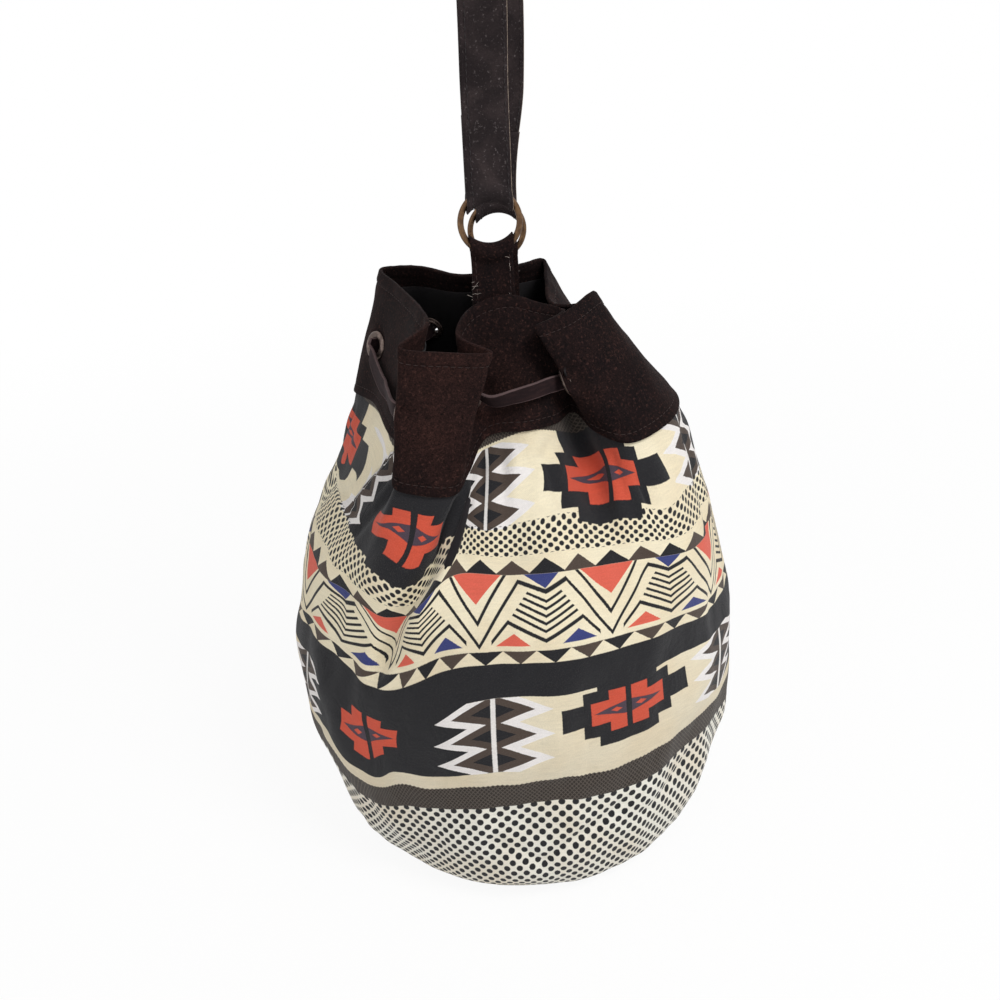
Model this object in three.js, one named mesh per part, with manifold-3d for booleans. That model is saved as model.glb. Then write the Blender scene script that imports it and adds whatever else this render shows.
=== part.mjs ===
// A drawstring bucket bag: printed canvas body, gathered suede band, eyelets and thong,
// and a suede shoulder strap on two brass rings.
// Millimetres, +Z up, front of the bag towards -Y, origin at the centre of the flat base.
import * as THREE from 'three';
import { mergeVertices } from 'three/addons/utils/BufferGeometryUtils.js';
import Module from 'manifold-3d';

const wasm = await Module();
wasm.setup();

// Driving dimensions of the bag
const rimHeight = 340;
const bandHeight = 72;
const baseRadius = 113;
const bellyRadius = 144;
const bellyHeight = 105;
const shoulderRadius = 104;
const baseNarrowing = 0.05;
const baseLengthening = 0.1;
const baseFade = 90;
const foldFade = 95;
const suedeThickness = 1.6;
const canvasThickness = 0.9;
const liningThickness = 0.7;
const seamOverlap = 9;
const liningDrop = 12;
const boardThickness = 2;
const boardInset = 6;
const liningTuck = 2;
const clearance = 0.3;

// Driving dimensions of the eyelets and the thong
const eyeletHole = 8;
const eyeletFlange = 15;
const eyeletWall = 0.7;
const flangeThickness = 1.1;
const flangeStandoff = 0.8;
const lipDiameter = 11.8;
const washerDiameter = 13.5;
const washerThickness = 0.8;
const eyeletLevel = 0.55;
const thongWidth = 6.2;
const thongThickness = 1.8;
const thongLead = 7;
const tailLength = 46;
const tailSpread = 9;
const knotRadius = 7;
const knotStandoff = 12;
const thongStandoff = 9;

// Driving dimensions of the rings, tabs and strap
const ringWire = 3.5;
const ringInner = 29;
const ringSwing = 25;
const swingSlack = 0.3;
const frontRingRise = 44;
const backRingRise = 28;
const tabWidth = 24;
const tabThickness = 1.7;
const tabSewnLength = 32;
const strapWidth = 25;
const strapThickness = 2.6;
const strapDrop = 300;
const strapEndLength = 34;
const strapArch = 25;
const strapLean = 12;

// The gathers, counter-clockwise from the front. Each station gives a point of the rim and one of
// the band's lower edge as [x, y, height above its nominal level], and its turn round the body in degrees.
const gathers = [
  { rim: [-1, -42, 4], hem: [5, -72, 7], turn: 3 },
  { rim: [17, -40, -2], hem: [22, -64, 7], turn: 12 },
  { rim: [32, -34, -9], hem: [35, -46, 6], turn: 20 },
  { rim: [11, -64, -9], hem: [43, -66, 0], turn: 27 },
  { rim: [30, -55, -5], hem: [59, -78, -4], turn: 37 },
  { rim: [51, -33, 0], hem: [93, -54, 0], turn: 58 },
  { rim: [54, -19, -9], hem: [104, -14, 3], turn: 80 },
  { rim: [33, -6, -12], hem: [84, 12, 7], turn: 98 },
  { rim: [35, 28, -4], hem: [89, 46, 3], turn: 120 },
  { rim: [37, 50, 3], hem: [71, 80, -1], turn: 140 },
  { rim: [22, 41, 3], hem: [31, 76, 4], turn: 160 },
  { rim: [3, 31, 2], hem: [3, 70, 8], turn: 178 },
  { rim: [-18, 33, 1], hem: [-23, 74, 6], turn: 192 },
  { rim: [-43, 53, 4], hem: [-55, 86, 0], turn: 212 },
  { rim: [-66, 50, 5], hem: [-90, 58, -1], turn: 236 },
  { rim: [-59, 14, 2], hem: [-79, 12, 3], turn: 262 },
  { rim: [-49, -36, -1], hem: [-73, -38, 1], turn: 284 },
  { rim: [-48, -60, -4], hem: [-66, -62, -3], turn: 298 },
  { rim: [-64, -80, -10], hem: [-74, -86, -13], turn: 310 },
  { rim: [-39, -84, -14], hem: [-58, -93, -17], turn: 318 },
  { rim: [-15, -80, -17], hem: [-40, -91, -19], turn: 327 },
  { rim: [-30, -62, -11], hem: [-31, -79, -12], turn: 336 },
  { rim: [-20, -43, -1], hem: [-18, -67, 4], turn: 348 },
];
const frontValley = 0;
const backValley = 11;
const frontHardwareX = -7;
const backHardwareX = 5;
const samplesPerStation = 3;

// Where the thong crosses the band, in stations along the gathers: across the front valley,
// through the right front fold, across the right valley, and so on round the bag
const eyeletStations = [21.5, 2.66, 6.5, 8.3, 9.8, 12.5, 14.6, 17.5];
const valleyMiddles = { 0: 0.3, 2: 7.4, 6: 16 };
const knotAfter = 4;
const tailDepth = gathers[backValley].hem[1] + 9;

// Derived sizes
const seamHeight = rimHeight - bandHeight;
const canvasInset = suedeThickness + clearance;
const liningInset = canvasInset + canvasThickness + clearance;
const bandWall = canvasInset + liningThickness;
const boardRadius = baseRadius - boardInset;
const boardBottom = canvasThickness + clearance;
const liningBottom = boardBottom + boardThickness + clearance;
const ringRadius = (ringInner + ringWire) / 2;
const wireRadius = ringWire / 2;
const aroundCount = gathers.length * samplesPerStation;

// The body's radius by height, with a rounded turn at the base and the widest place low down
const shoulderRise = seamHeight - bellyHeight;
const profileCurve = new THREE.CatmullRomCurve3([
  [baseRadius, clearance],
  [baseRadius + 8, 2.5],
  [baseRadius + 15, 9],
  [baseRadius + 22, 24],
  [bellyRadius - 2, bellyHeight * 0.55],
  [bellyRadius + 1, bellyHeight],
  [bellyRadius - 4, bellyHeight + shoulderRise * 0.29],
  [(bellyRadius + shoulderRadius) / 2 + 7, bellyHeight + shoulderRise * 0.55],
  [shoulderRadius + 15, bellyHeight + shoulderRise * 0.78],
  [shoulderRadius, seamHeight],
].map(([radius, height]) => new THREE.Vector3(radius, height, 0)), false, 'centripetal');

function closedRing(points) {
  const curve = new THREE.CatmullRomCurve3(points, true, 'centripetal');
  return Array.from({ length: aroundCount }, (_, i) => curve.getPoint(i / aroundCount));
}

const rimRing = closedRing(gathers.map(({ rim: [x, y, rise] }) => new THREE.Vector3(x, y, rimHeight + rise)));
const hemRing = closedRing(gathers.map(({ hem: [x, y, rise] }) => new THREE.Vector3(x, y, seamHeight + rise)));
const turnRing = gathers.flatMap(({ turn }, i) => {
  const next = i + 1 < gathers.length ? gathers[i + 1].turn : gathers[0].turn + 360;
  return Array.from({ length: samplesPerStation }, (_, k) =>
    THREE.MathUtils.degToRad(turn + ((next - turn) * k) / samplesPerStation));
});

function roundPoint(turn, radius, height) {
  return new THREE.Vector3(radius * Math.sin(turn), -radius * Math.cos(turn), height);
}

// A row of the band between its rim (0) and its lower edge (1)
function bandRow(level) {
  return rimRing.map((rim, i) => rim.clone().lerp(hemRing[i], level));
}

// The base is a little narrower and deeper than the round belly
function basePoint(point) {
  const share = 1 - THREE.MathUtils.smoothstep(point.z, 0, baseFade);
  return point.set(point.x * (1 - baseNarrowing * share), point.y * (1 + baseLengthening * share), point.z);
}

// A row of the body between its base (0) and the band's seam (1): round below, gathered above
function bodyRow(level) {
  const [radius, height] = profileCurve.getPointAt(level).toArray();
  const fade = THREE.MathUtils.smoothstep(height, seamHeight - foldFade, seamHeight);
  return hemRing.map((hem, i) => {
    const offset = hem.clone().sub(roundPoint(turnRing[i], shoulderRadius, seamHeight));
    return basePoint(roundPoint(turnRing[i], radius, height)).addScaledVector(offset, fade);
  });
}

// The bag's outer face as rows from the rim to the base. Every wall has these same rows,
// moved inwards along the same normals, so that the layers stay parallel.
const liningLevel = liningDrop / bandHeight;
const overlapLevel = 1 - seamOverlap / bandHeight;
const bandLevels = [0, liningLevel, 0.4, 0.65, overlapLevel, 1];
const bodyLevels = [0.87, 0.74, 0.6, 0.44, 0.28, 0.14, 0.07, 0.025, 0];
const faceRows = [...bandLevels.map(bandRow), ...bodyLevels.map(bodyRow)];
const faceNormals = faceRows.map((row, r) => row.map((_, i) => {
  const along = row[(i + 1) % row.length].clone().sub(row[(i - 1 + row.length) % row.length]);
  const down = faceRows[Math.min(r + 1, faceRows.length - 1)][i].clone().sub(faceRows[Math.max(r - 1, 0)][i]);
  return down.cross(along).normalize();
}));
const liningStart = bandLevels.indexOf(liningLevel);
const canvasStart = bandLevels.indexOf(overlapLevel);
const bandEnd = bandLevels.length;

// The rows from one to another, moved inwards by a depth, or by a depth that each row has
function insetRows(start, end, depth) {
  const depthAt = typeof depth === 'function' ? depth : () => depth;
  return faceRows.slice(start, end).map((row, r) =>
    row.map((point, i) => point.clone().addScaledVector(faceNormals[start + r][i], -depthAt(start + r))));
}

// A closed solid from triangles given as corner points, turned so that its faces point outwards
function solidFrom(triangles) {
  const volume = triangles.reduce((sum, [a, b, c]) => sum + a.dot(b.clone().cross(c)), 0);
  const facing = volume > 0 ? triangles : triangles.map(([a, b, c]) => [a, c, b]);
  const geometry = new THREE.BufferGeometry();
  geometry.setAttribute('position', new THREE.Float32BufferAttribute(
    facing.flatMap((corners) => corners.flatMap((point) => point.toArray())), 3));
  return mergeVertices(geometry, 1e-4);
}

// The skin between rows, which close on themselves unless they are open
function skin(triangles, rows, flipped = false, closed = true) {
  for (let r = 0; r < rows.length - 1; r += 1) {
    const last = closed ? rows[r].length : rows[r].length - 1;
    for (let i = 0; i < last; i += 1) {
      const j = (i + 1) % rows[r].length;
      const [a, b, c, d] = [rows[r][i], rows[r + 1][i], rows[r + 1][j], rows[r][j]];
      triangles.push(...(flipped ? [[a, c, b], [a, d, c]] : [[a, b, c], [a, c, d]]));
    }
  }
}

function cap(triangles, row, flipped) {
  const centre = row.reduce((sum, point) => sum.add(point), new THREE.Vector3()).divideScalar(row.length);
  row.forEach((point, i) => {
    const next = row[(i + 1) % row.length];
    triangles.push(flipped ? [centre, next, point] : [centre, point, next]);
  });
}

// A wall with two skins, open at the top and either open or capped at the bottom
function wall(outer, inner, capped = false) {
  const triangles = [];
  skin(triangles, outer);
  skin(triangles, inner, true);
  skin(triangles, [inner[0], outer[0]]);
  if (capped) {
    cap(triangles, outer.at(-1), true);
    cap(triangles, inner.at(-1), false);
  } else {
    skin(triangles, [outer.at(-1), inner.at(-1)]);
  }
  return solidFrom(triangles);
}

// A flat or bent slab between two grids of points with the same layout
function slab(front, back) {
  const triangles = [];
  const edge = (rows, pick) => rows.map(pick);
  skin(triangles, front, false, false);
  skin(triangles, back, true, false);
  skin(triangles, [front[0], back[0]], true, false);
  skin(triangles, [front.at(-1), back.at(-1)], false, false);
  skin(triangles, [edge(front, (row) => row[0]), edge(back, (row) => row[0])], false, false);
  skin(triangles, [edge(front, (row) => row.at(-1)), edge(back, (row) => row.at(-1))], true, false);
  return solidFrom(triangles);
}

function toManifold(geometry) {
  const bare = geometry.clone();
  bare.deleteAttribute('normal');
  bare.deleteAttribute('uv');
  const merged = mergeVertices(bare, 1e-4);
  return new wasm.Manifold(new wasm.Mesh({
    numProp: 3,
    vertProperties: new Float32Array(merged.attributes.position.array),
    triVerts: new Uint32Array(merged.index.array),
  }));
}

function fromManifold(manifold) {
  const mesh = manifold.getMesh();
  const geometry = new THREE.BufferGeometry();
  geometry.setAttribute('position', new THREE.BufferAttribute(mesh.vertProperties, 3));
  geometry.setIndex(new THREE.BufferAttribute(mesh.triVerts, 1));
  return geometry;
}

// A solid of revolution about Z from an outline of [radius, height], anticlockwise
function turned(outline, segments = 10) {
  const points = [...outline, outline[0]].map(([radius, height]) => new THREE.Vector2(radius, height));
  const geometry = new THREE.LatheGeometry(points, segments);
  geometry.rotateX(Math.PI / 2);
  geometry.deleteAttribute('normal');
  geometry.deleteAttribute('uv');
  return mergeVertices(geometry, 1e-4);
}

const bag = new THREE.Group();
const finishes = {
  suede: { color: 0x2e1d17, roughness: 0.95, metalness: 0 },
  strapSuede: { color: 0x2a2526, roughness: 0.95, metalness: 0 },
  leather: { color: 0x3a251d, roughness: 0.6, metalness: 0 },
  canvas: { color: 0xe8dcc0, roughness: 0.9, metalness: 0 },
  lining: { color: 0x141315, roughness: 0.85, metalness: 0 },
  board: { color: 0x8a7a64, roughness: 0.8, metalness: 0 },
  brass: { color: 0x6e5138, roughness: 0.4, metalness: 1 },
  darkMetal: { color: 0x4a4038, roughness: 0.45, metalness: 1 },
};

function add(name, geometry, finish) {
  const mesh = new THREE.Mesh(geometry, new THREE.MeshStandardMaterial(finishes[finish]));
  mesh.name = name;
  bag.add(mesh);
}

// A closed-up layer of the bag's wall between two rows, at a depth inside the outer face
function layer(start, end, depth, thickness) {
  return wall(insetRows(start, end, depth), insetRows(start, end, depth + thickness));
}

// The lining hangs from just below the rim and closes over the base board
function lining() {
  const floorRow = (radius, height) => turnRing.map((turn) => basePoint(roundPoint(turn, radius, height)));
  const depth = (row) => (row < canvasStart ? canvasInset : liningInset);
  const outer = insetRows(liningStart, faceRows.length - 1, depth);
  const inner = insetRows(liningStart, faceRows.length - 1, (row) => depth(row) + liningThickness);
  outer.push(floorRow(boardRadius + liningTuck, liningBottom));
  inner.push(floorRow(boardRadius + liningTuck - liningThickness, liningBottom + liningThickness));
  return wall(outer, inner, true);
}

function baseDisc(radius, bottom, thickness) {
  const row = (height) => turnRing.map((turn) => {
    const edge = basePoint(roundPoint(turn, radius, 0));
    return edge.setZ(height);
  });
  const triangles = [];
  skin(triangles, [row(bottom + thickness), row(bottom)]);
  cap(triangles, row(bottom + thickness), false);
  cap(triangles, row(bottom), true);
  return solidFrom(triangles);
}

// A place in the middle of the band's wall at a station, with the outward normal there
function bandPlace(station, level) {
  const reach = 0.3;
  const at = (s, l) => {
    const position = ((s + gathers.length) % gathers.length) * samplesPerStation;
    const row = bandRow(l);
    const i = Math.floor(position);
    return row[i].lerp(row[(i + 1) % aroundCount], position - i);
  };
  const along = at(station + reach, level).sub(at(station - reach, level));
  const down = at(station, level + reach).sub(at(station, level - reach));
  const outward = down.cross(along).normalize();
  return { point: at(station, level).addScaledVector(outward, -bandWall / 2), outward };
}

const eyeletPlaces = eyeletStations.map((station) => bandPlace(station, eyeletLevel));

// Turns a piece made along +Z to a place's outward normal, with its top kept upwards
function placed(geometry, { point, outward }) {
  const side = new THREE.Vector3(0, 0, 1).cross(outward).normalize();
  const frame = new THREE.Matrix4().makeBasis(side, outward.clone().cross(side), outward);
  return geometry.clone().applyMatrix4(frame.setPosition(point));
}

const seat = bandWall / 2 + clearance + flangeStandoff;
const barrelRadius = eyeletHole / 2 + eyeletWall;
const flangeRadius = eyeletFlange / 2;
const washerRadius = washerDiameter / 2;

// One eyelet: a rolled flange outside, a barrel through the band and a lip clenched inside
function eyelet() {
  const lipTop = -seat - washerThickness - clearance;
  return turned([
    [eyeletHole / 2, lipTop - eyeletWall],
    [lipDiameter / 2, lipTop - eyeletWall],
    [lipDiameter / 2, lipTop],
    [barrelRadius, lipTop],
    [barrelRadius, seat],
    [flangeRadius, seat],
    [flangeRadius, seat + flangeThickness * 0.5],
    [flangeRadius - 1.1, seat + flangeThickness],
    [eyeletHole / 2 + 0.9, seat + flangeThickness],
    [eyeletHole / 2, seat + flangeThickness * 0.5],
  ]);
}

function washer() {
  return turned([
    [barrelRadius + clearance, -seat - washerThickness],
    [washerRadius, -seat - washerThickness],
    [washerRadius, -seat],
    [barrelRadius + clearance, -seat],
  ]);
}

// The room each eyelet needs: its hole, and flat seats where flange and washer clamp the layers
function eyeletRoom() {
  const deep = bandWall * 2;
  return turned([
    [0, -deep],
    [washerRadius + clearance, -deep],
    [washerRadius + clearance, clearance - seat],
    [barrelRadius + clearance, clearance - seat],
    [barrelRadius + clearance, seat - clearance],
    [flangeRadius + clearance, seat - clearance],
    [flangeRadius + clearance, deep],
    [0, deep],
  ]);
}

function withEyeletRoom(geometry) {
  const cuts = eyeletPlaces.map((place) => toManifold(placed(eyeletRoom(), place)));
  return fromManifold(cuts.reduce((solid, cut) => solid.subtract(cut), toManifold(geometry)));
}

// A flat strip along a path, with its width along the given direction
function strip(points, across, width, thickness, stepsPerPoint) {
  const curve = new THREE.CatmullRomCurve3(points, false, 'centripetal');
  const count = (points.length - 1) * stepsPerPoint;
  const grids = [[], []];
  for (let i = 0; i <= count; i += 1) {
    const centre = curve.getPoint(i / count);
    const tangent = curve.getTangent(i / count);
    const wide = across.clone().addScaledVector(tangent, -across.dot(tangent)).normalize();
    const thick = tangent.clone().cross(wide);
    [0.5, -0.5].forEach((side, g) => {
      grids[g].push([0.5, -0.5].map((end) => centre.clone()
        .addScaledVector(thick, side * thickness).addScaledVector(wide, end * width)));
    });
  }
  return slab(grids[0], grids[1]);
}

// The thong starts and ends in a knot behind the bag. It goes straight through each eyelet,
// and stands off the band where it crosses a valley.
function thong() {
  const up = new THREE.Vector3(0, 0, 1);
  const away = (station, distance) => {
    const { point, outward } = bandPlace(station, eyeletLevel);
    return point.addScaledVector(outward.setZ(0).normalize(), distance);
  };
  const knotPoint = away(backValley, knotStandoff);
  const order = eyeletStations.map((_, i) => (i + knotAfter + 1) % eyeletStations.length);
  const route = order.flatMap((eyeletIndex, i) => {
    const { point, outward } = eyeletPlaces[eyeletIndex];
    const lead = [thongLead, 0, -thongLead].map((reach) => point.clone().addScaledVector(outward, reach));
    const entering = i % 2 === 0;
    const crossing = !entering && valleyMiddles[eyeletIndex] !== undefined;
    return [...(entering ? lead : lead.reverse()), ...(crossing ? [away(valleyMiddles[eyeletIndex], thongStandoff)] : [])];
  });
  const loop = strip([knotPoint, ...route, knotPoint], up, thongWidth, thongThickness, 2);
  const knot = new THREE.SphereGeometry(knotRadius, 10, 7).scale(1.15, 0.75, 0.9);
  const tails = [-1, 1].map((side) => strip([
    knotPoint,
    new THREE.Vector3(knotPoint.x + side * tailSpread * 0.6, tailDepth - 5, knotPoint.z - tailLength * 0.4),
    new THREE.Vector3(knotPoint.x + side * tailSpread, tailDepth + 5, knotPoint.z - tailLength),
  ], new THREE.Vector3(1, 0, 0), thongWidth, thongThickness, 3));
  const pieces = [loop, knot.translate(...knotPoint.toArray()), ...tails].map(toManifold);
  return fromManifold(pieces.reduce((solid, piece) => solid.add(piece)));
}

// How far a ring's wire has risen at a distance from its lowest point
function wireRise(distance) {
  return ringRadius - Math.sqrt(ringRadius ** 2 - distance ** 2);
}

// A turned end round a wire lies in a plane across it, as [depth, height] from the wire's centre.
// It goes up one leg, round the wire with room for the ring to swing, and down the other leg.
function turnedEnd(width, thickness) {
  const swingRoom = (wireRise(width / 2) / 2) * Math.sin(THREE.MathUtils.degToRad(ringSwing))
    + clearance + swingSlack;
  const radius = wireRadius + swingRoom + thickness / 2;
  const leg = (thickness + clearance) / 2;
  const start = THREE.MathUtils.degToRad(-50);
  const neck = radius * Math.sin(start) - (radius * Math.cos(start) - leg) / Math.tan(-start);
  const steps = 12;
  const arc = Array.from({ length: steps + 1 }, (_, i) => {
    const angle = Math.PI - start - ((Math.PI - 2 * start) * i) / steps;
    return [radius * Math.cos(angle), radius * Math.sin(angle)];
  });
  return { leg, neck, arc };
}

// A strip bent along an [y, z] path, in slices across its width. Near its turned ends it
// follows the curve of the ring, and it may drift sideways along its length.
function bentStrip(path, width, thickness, slices, place) {
  const sides = [0.5, -0.5].map((side) => path.map(([y, z], i) => {
    const before = path[Math.max(i - 1, 0)];
    const after = path[Math.min(i + 1, path.length - 1)];
    const length = Math.hypot(after[0] - before[0], after[1] - before[1]);
    return [y + (side * thickness * (after[1] - before[1])) / length,
      z - (side * thickness * (after[0] - before[0])) / length];
  }));
  const grids = sides.map((line) => Array.from({ length: slices + 1 }, (_, k) => {
    const across = (k / slices - 0.5) * width;
    return line.map(([y, z], i) => place(across, y, z, i / (path.length - 1)));
  }));
  return slab(grids[0], grids[1]);
}

function hardware(x, valley, towards, ringRise) {
  const tabHalf = tabThickness + clearance / 2;
  const y = gathers[valley].rim[1] + towards * (bandWall + clearance + tabHalf);
  return { x, y, z: rimHeight + ringRise };
}
const front = hardware(frontHardwareX, frontValley, 1, frontRingRise);
const back = hardware(backHardwareX, backValley, -1, backRingRise);

// A tab: a strip folded over the ring's lower wire, its two legs sewn inside the band
function tab({ x, y, z }) {
  const { leg, neck, arc } = turnedEnd(tabWidth, tabThickness);
  const wire = z - ringRadius;
  const bottom = rimHeight - tabSewnLength;
  const heights = [bottom, (bottom + wire + neck) / 2, wire + neck - 4, wire + neck];
  const path = [
    ...heights.map((height) => [y - leg, height]),
    ...arc.map(([depth, rise]) => [y + depth, wire + rise]),
    ...heights.reverse().map((height) => [y + leg, height]),
  ];
  return bentStrip(path, tabWidth, tabThickness, 4, (across, py, pz) => {
    const follow = THREE.MathUtils.smoothstep(pz, rimHeight, wire + neck);
    return new THREE.Vector3(x + across, py, pz + wireRise(Math.abs(across)) * follow);
  });
}

function ring({ x, y, z }) {
  const geometry = new THREE.TorusGeometry(ringRadius, wireRadius, 8, 30);
  return geometry.rotateX(Math.PI / 2).translate(x, y, z);
}

// The strap: up from the front ring, over the shoulder arch and down to the back ring,
// with each end turned round its ring's upper wire and up the inner side
function shoulderStrap() {
  const { leg, neck, arc } = turnedEnd(strapWidth, strapThickness);
  const frontWire = front.z + ringRadius;
  const backWire = back.z + ringRadius;
  const top = frontWire + strapDrop;
  const middle = (front.y + back.y) / 2 - strapLean / 2;
  const end = ({ y }, wire, inner) => [
    [y + inner * leg, wire - neck + strapEndLength],
    [y + inner * leg, wire - neck + strapEndLength / 2],
    [y + inner * leg, wire - neck + 4],
    [y + inner * leg, wire - neck],
    ...arc.map(([depth, rise]) => [y - inner * depth, wire - rise]),
    [y - inner * leg, wire - neck],
    [y - inner * leg, wire - neck + 4],
    [y - inner * leg, wire - neck + strapEndLength / 2],
    [y - inner * leg, wire - neck + strapEndLength],
  ];
  const strand = new THREE.CatmullRomCurve3([
    [front.y - leg, frontWire - neck + strapEndLength],
    [front.y - leg - 1, frontWire - neck + strapEndLength + 15],
    [front.y - leg - strapLean, (frontWire * 2 + top) / 3],
    [middle - strapArch - 3, top - strapArch * 2.2],
    [middle - strapArch * 0.85, top - strapArch * 0.6],
    [middle, top],
    [middle + strapArch * 0.85, top - strapArch * 0.6],
    [middle + strapArch + 3, top - strapArch * 2.2],
    [back.y + leg - strapLean, (backWire * 2 + top) / 3],
    [back.y + leg - 1, backWire - neck + strapEndLength + 15],
    [back.y + leg, backWire - neck + strapEndLength],
  ].map(([y, z]) => new THREE.Vector3(0, y, z)), false, 'centripetal');
  const strandSteps = 28;
  const strandPoints = Array.from({ length: strandSteps - 1 }, (_, i) => {
    const point = strand.getPoint((i + 1) / strandSteps);
    return [point.y, point.z];
  });
  const path = [...end(front, frontWire, 1), ...strandPoints, ...end(back, backWire, -1).reverse()];
  return bentStrip(path, strapWidth, strapThickness, 4, (across, py, pz, share) => {
    const wire = share < 0.5 ? frontWire : backWire;
    const follow = 1 - THREE.MathUtils.smoothstep(pz, wire - neck, wire - neck + strapEndLength);
    const drift = THREE.MathUtils.smoothstep(share, 0.35, 0.65);
    const x = THREE.MathUtils.lerp(front.x, back.x, drift);
    return new THREE.Vector3(x + across, py, pz - wireRise(Math.abs(across)) * follow);
  });
}

add('suede_band', withEyeletRoom(layer(0, bandEnd, 0, suedeThickness)), 'suede');
add('canvas_body', layer(canvasStart, faceRows.length, canvasInset, canvasThickness), 'canvas');
add('lining', withEyeletRoom(lining()), 'lining');
add('base_panel', baseDisc(baseRadius - canvasThickness - 2 * clearance, 0, canvasThickness), 'canvas');
add('base_board', baseDisc(boardRadius, boardBottom, boardThickness), 'board');
eyeletPlaces.forEach((place, i) => {
  add(`eyelet_${i + 1}`, placed(eyelet(), place), 'darkMetal');
  add(`eyelet_washer_${i + 1}`, placed(washer(), place), 'darkMetal');
});
add('drawstring', thong(), 'leather');
add('front_tab', tab(front), 'suede');
add('back_tab', tab(back), 'suede');
add('front_ring', ring(front), 'brass');
add('back_ring', ring(back), 'brass');
add('shoulder_strap', shoulderStrap(), 'strapSuede');

export default bag;
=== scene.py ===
"""The look of the drawstring bucket bag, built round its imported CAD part.

Lengths inside this file are millimetres, and metres() turns them into Blender's metres.
+Z is up, the front of the bag faces -Y, and the origin is the centre of the flat base.
"""
import math

import bpy
import numpy as np
from bpy.props import FloatProperty, FloatVectorProperty, PointerProperty
from bpy.types import Operator, Panel, PropertyGroup
from mathutils import Matrix, Vector


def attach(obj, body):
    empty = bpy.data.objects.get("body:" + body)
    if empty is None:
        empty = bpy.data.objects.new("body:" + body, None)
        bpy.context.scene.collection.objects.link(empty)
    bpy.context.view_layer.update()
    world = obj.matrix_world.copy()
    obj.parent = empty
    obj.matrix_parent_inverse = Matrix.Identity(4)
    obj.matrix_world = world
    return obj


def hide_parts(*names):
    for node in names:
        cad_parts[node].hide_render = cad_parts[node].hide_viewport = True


bl_info = {
    "name": "Drawstring bucket bag",
    "version": (1, 0, 0),
    "blender": (4, 5, 0),
    "location": "View3D > Sidebar > Bucket Bag",
    "description": "Printed canvas bucket bag with a gathered suede band, thong, rings and strap",
    "category": "Mesh",
}

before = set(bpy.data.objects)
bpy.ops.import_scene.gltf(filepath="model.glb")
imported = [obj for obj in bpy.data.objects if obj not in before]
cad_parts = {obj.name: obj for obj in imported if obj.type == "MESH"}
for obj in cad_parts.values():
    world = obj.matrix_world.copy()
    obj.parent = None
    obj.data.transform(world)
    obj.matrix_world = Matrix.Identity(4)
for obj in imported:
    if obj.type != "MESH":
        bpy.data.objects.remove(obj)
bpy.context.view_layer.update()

# Sizes shared with the part, in millimetres
RIM_HEIGHT = 340.0
BAND_HEIGHT = 72.0
SEAM_HEIGHT = RIM_HEIGHT - BAND_HEIGHT
BASE_RADIUS = 113.0
BELLY_RADIUS = 144.0
BELLY_HEIGHT = 105.0
SHOULDER_RADIUS = 104.0
BASE_NARROWING = 0.05
BASE_LENGTHENING = 0.1
BASE_FADE = 90.0
FOLD_FADE = 95.0
SUEDE = 1.6
CANVAS = 0.9
LINING = 0.7
SEAM_OVERLAP = 9.0
LINING_DROP = 12.0
CLEARANCE = 0.3
CANVAS_INSET = SUEDE + CLEARANCE
BAND_WALL = CANVAS_INSET + LINING
BOARD = 2.0
LINING_BOTTOM = CANVAS + CLEARANCE + BOARD + CLEARANCE
CLOTH_ROUND = 908.0

# Gathers: rim point, lower edge point (x, y, height above nominal) and turn round the body
GATHERS = (
    ((-1, -42, 4), (5, -72, 7), 3), ((17, -40, -2), (22, -64, 7), 12),
    ((32, -34, -9), (35, -46, 6), 20), ((11, -64, -9), (43, -66, 0), 27),
    ((30, -55, -5), (59, -78, -4), 37), ((51, -33, 0), (93, -54, 0), 58),
    ((54, -19, -9), (104, -14, 3), 80), ((33, -6, -12), (84, 12, 7), 98),
    ((35, 28, -4), (89, 46, 3), 120), ((37, 50, 3), (71, 80, -1), 140),
    ((22, 41, 3), (31, 76, 4), 160), ((3, 31, 2), (3, 70, 8), 178),
    ((-18, 33, 1), (-23, 74, 6), 192), ((-43, 53, 4), (-55, 86, 0), 212),
    ((-66, 50, 5), (-90, 58, -1), 236), ((-59, 14, 2), (-79, 12, 3), 262),
    ((-49, -36, -1), (-73, -38, 1), 284), ((-48, -60, -4), (-66, -62, -3), 298),
    ((-64, -80, -10), (-74, -86, -13), 310), ((-39, -84, -14), (-58, -93, -17), 318),
    ((-15, -80, -17), (-40, -91, -19), 327), ((-30, -62, -11), (-31, -79, -12), 336),
    ((-20, -43, -1), (-18, -67, 4), 348),
)
STATIONS = len(GATHERS)
FINE = 12
COARSE = 3

# The eyelets and the thong that runs through them
EYELET_STATIONS = (21.5, 2.66, 6.5, 8.3, 9.8, 12.5, 14.7, 17.5)
EYELET_LEVEL = 0.55
EYELET_BARREL = 0.7
HOLE_ROOM = 0.8
FRONT_EYELET = 0
RIGHT_EYELET = 2
LEFT_EYELET = 6
RIGHT_VALLEY = 7.4
KNOT_AFTER = 4
BACK_VALLEY = 11
# The thong's free points after the front and the left eyelet, and where its width points there
CROSSINGS = {
    FRONT_EYELET: ((-15.3, -71.5, 293.6), (-3.5, -72.2, 295.2), (8.0, -71.0, 297.0), (17.5, -65.6, 297.6)),
    LEFT_EYELET: ((-77.2, 21.0, 299.0), (-74.4, -3.0, 291.6), (-71.2, -28.5, 290.2)),
}
CROSSING_WIDTHS = {
    FRONT_EYELET: [(0, -0.86, 0.5), (0, -0.42, 0.9), (0, -0.12, 1), (0, 0, 1)],
    LEFT_EYELET: [(0.32, -0.24, 0.92)] * 3,
}

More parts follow.
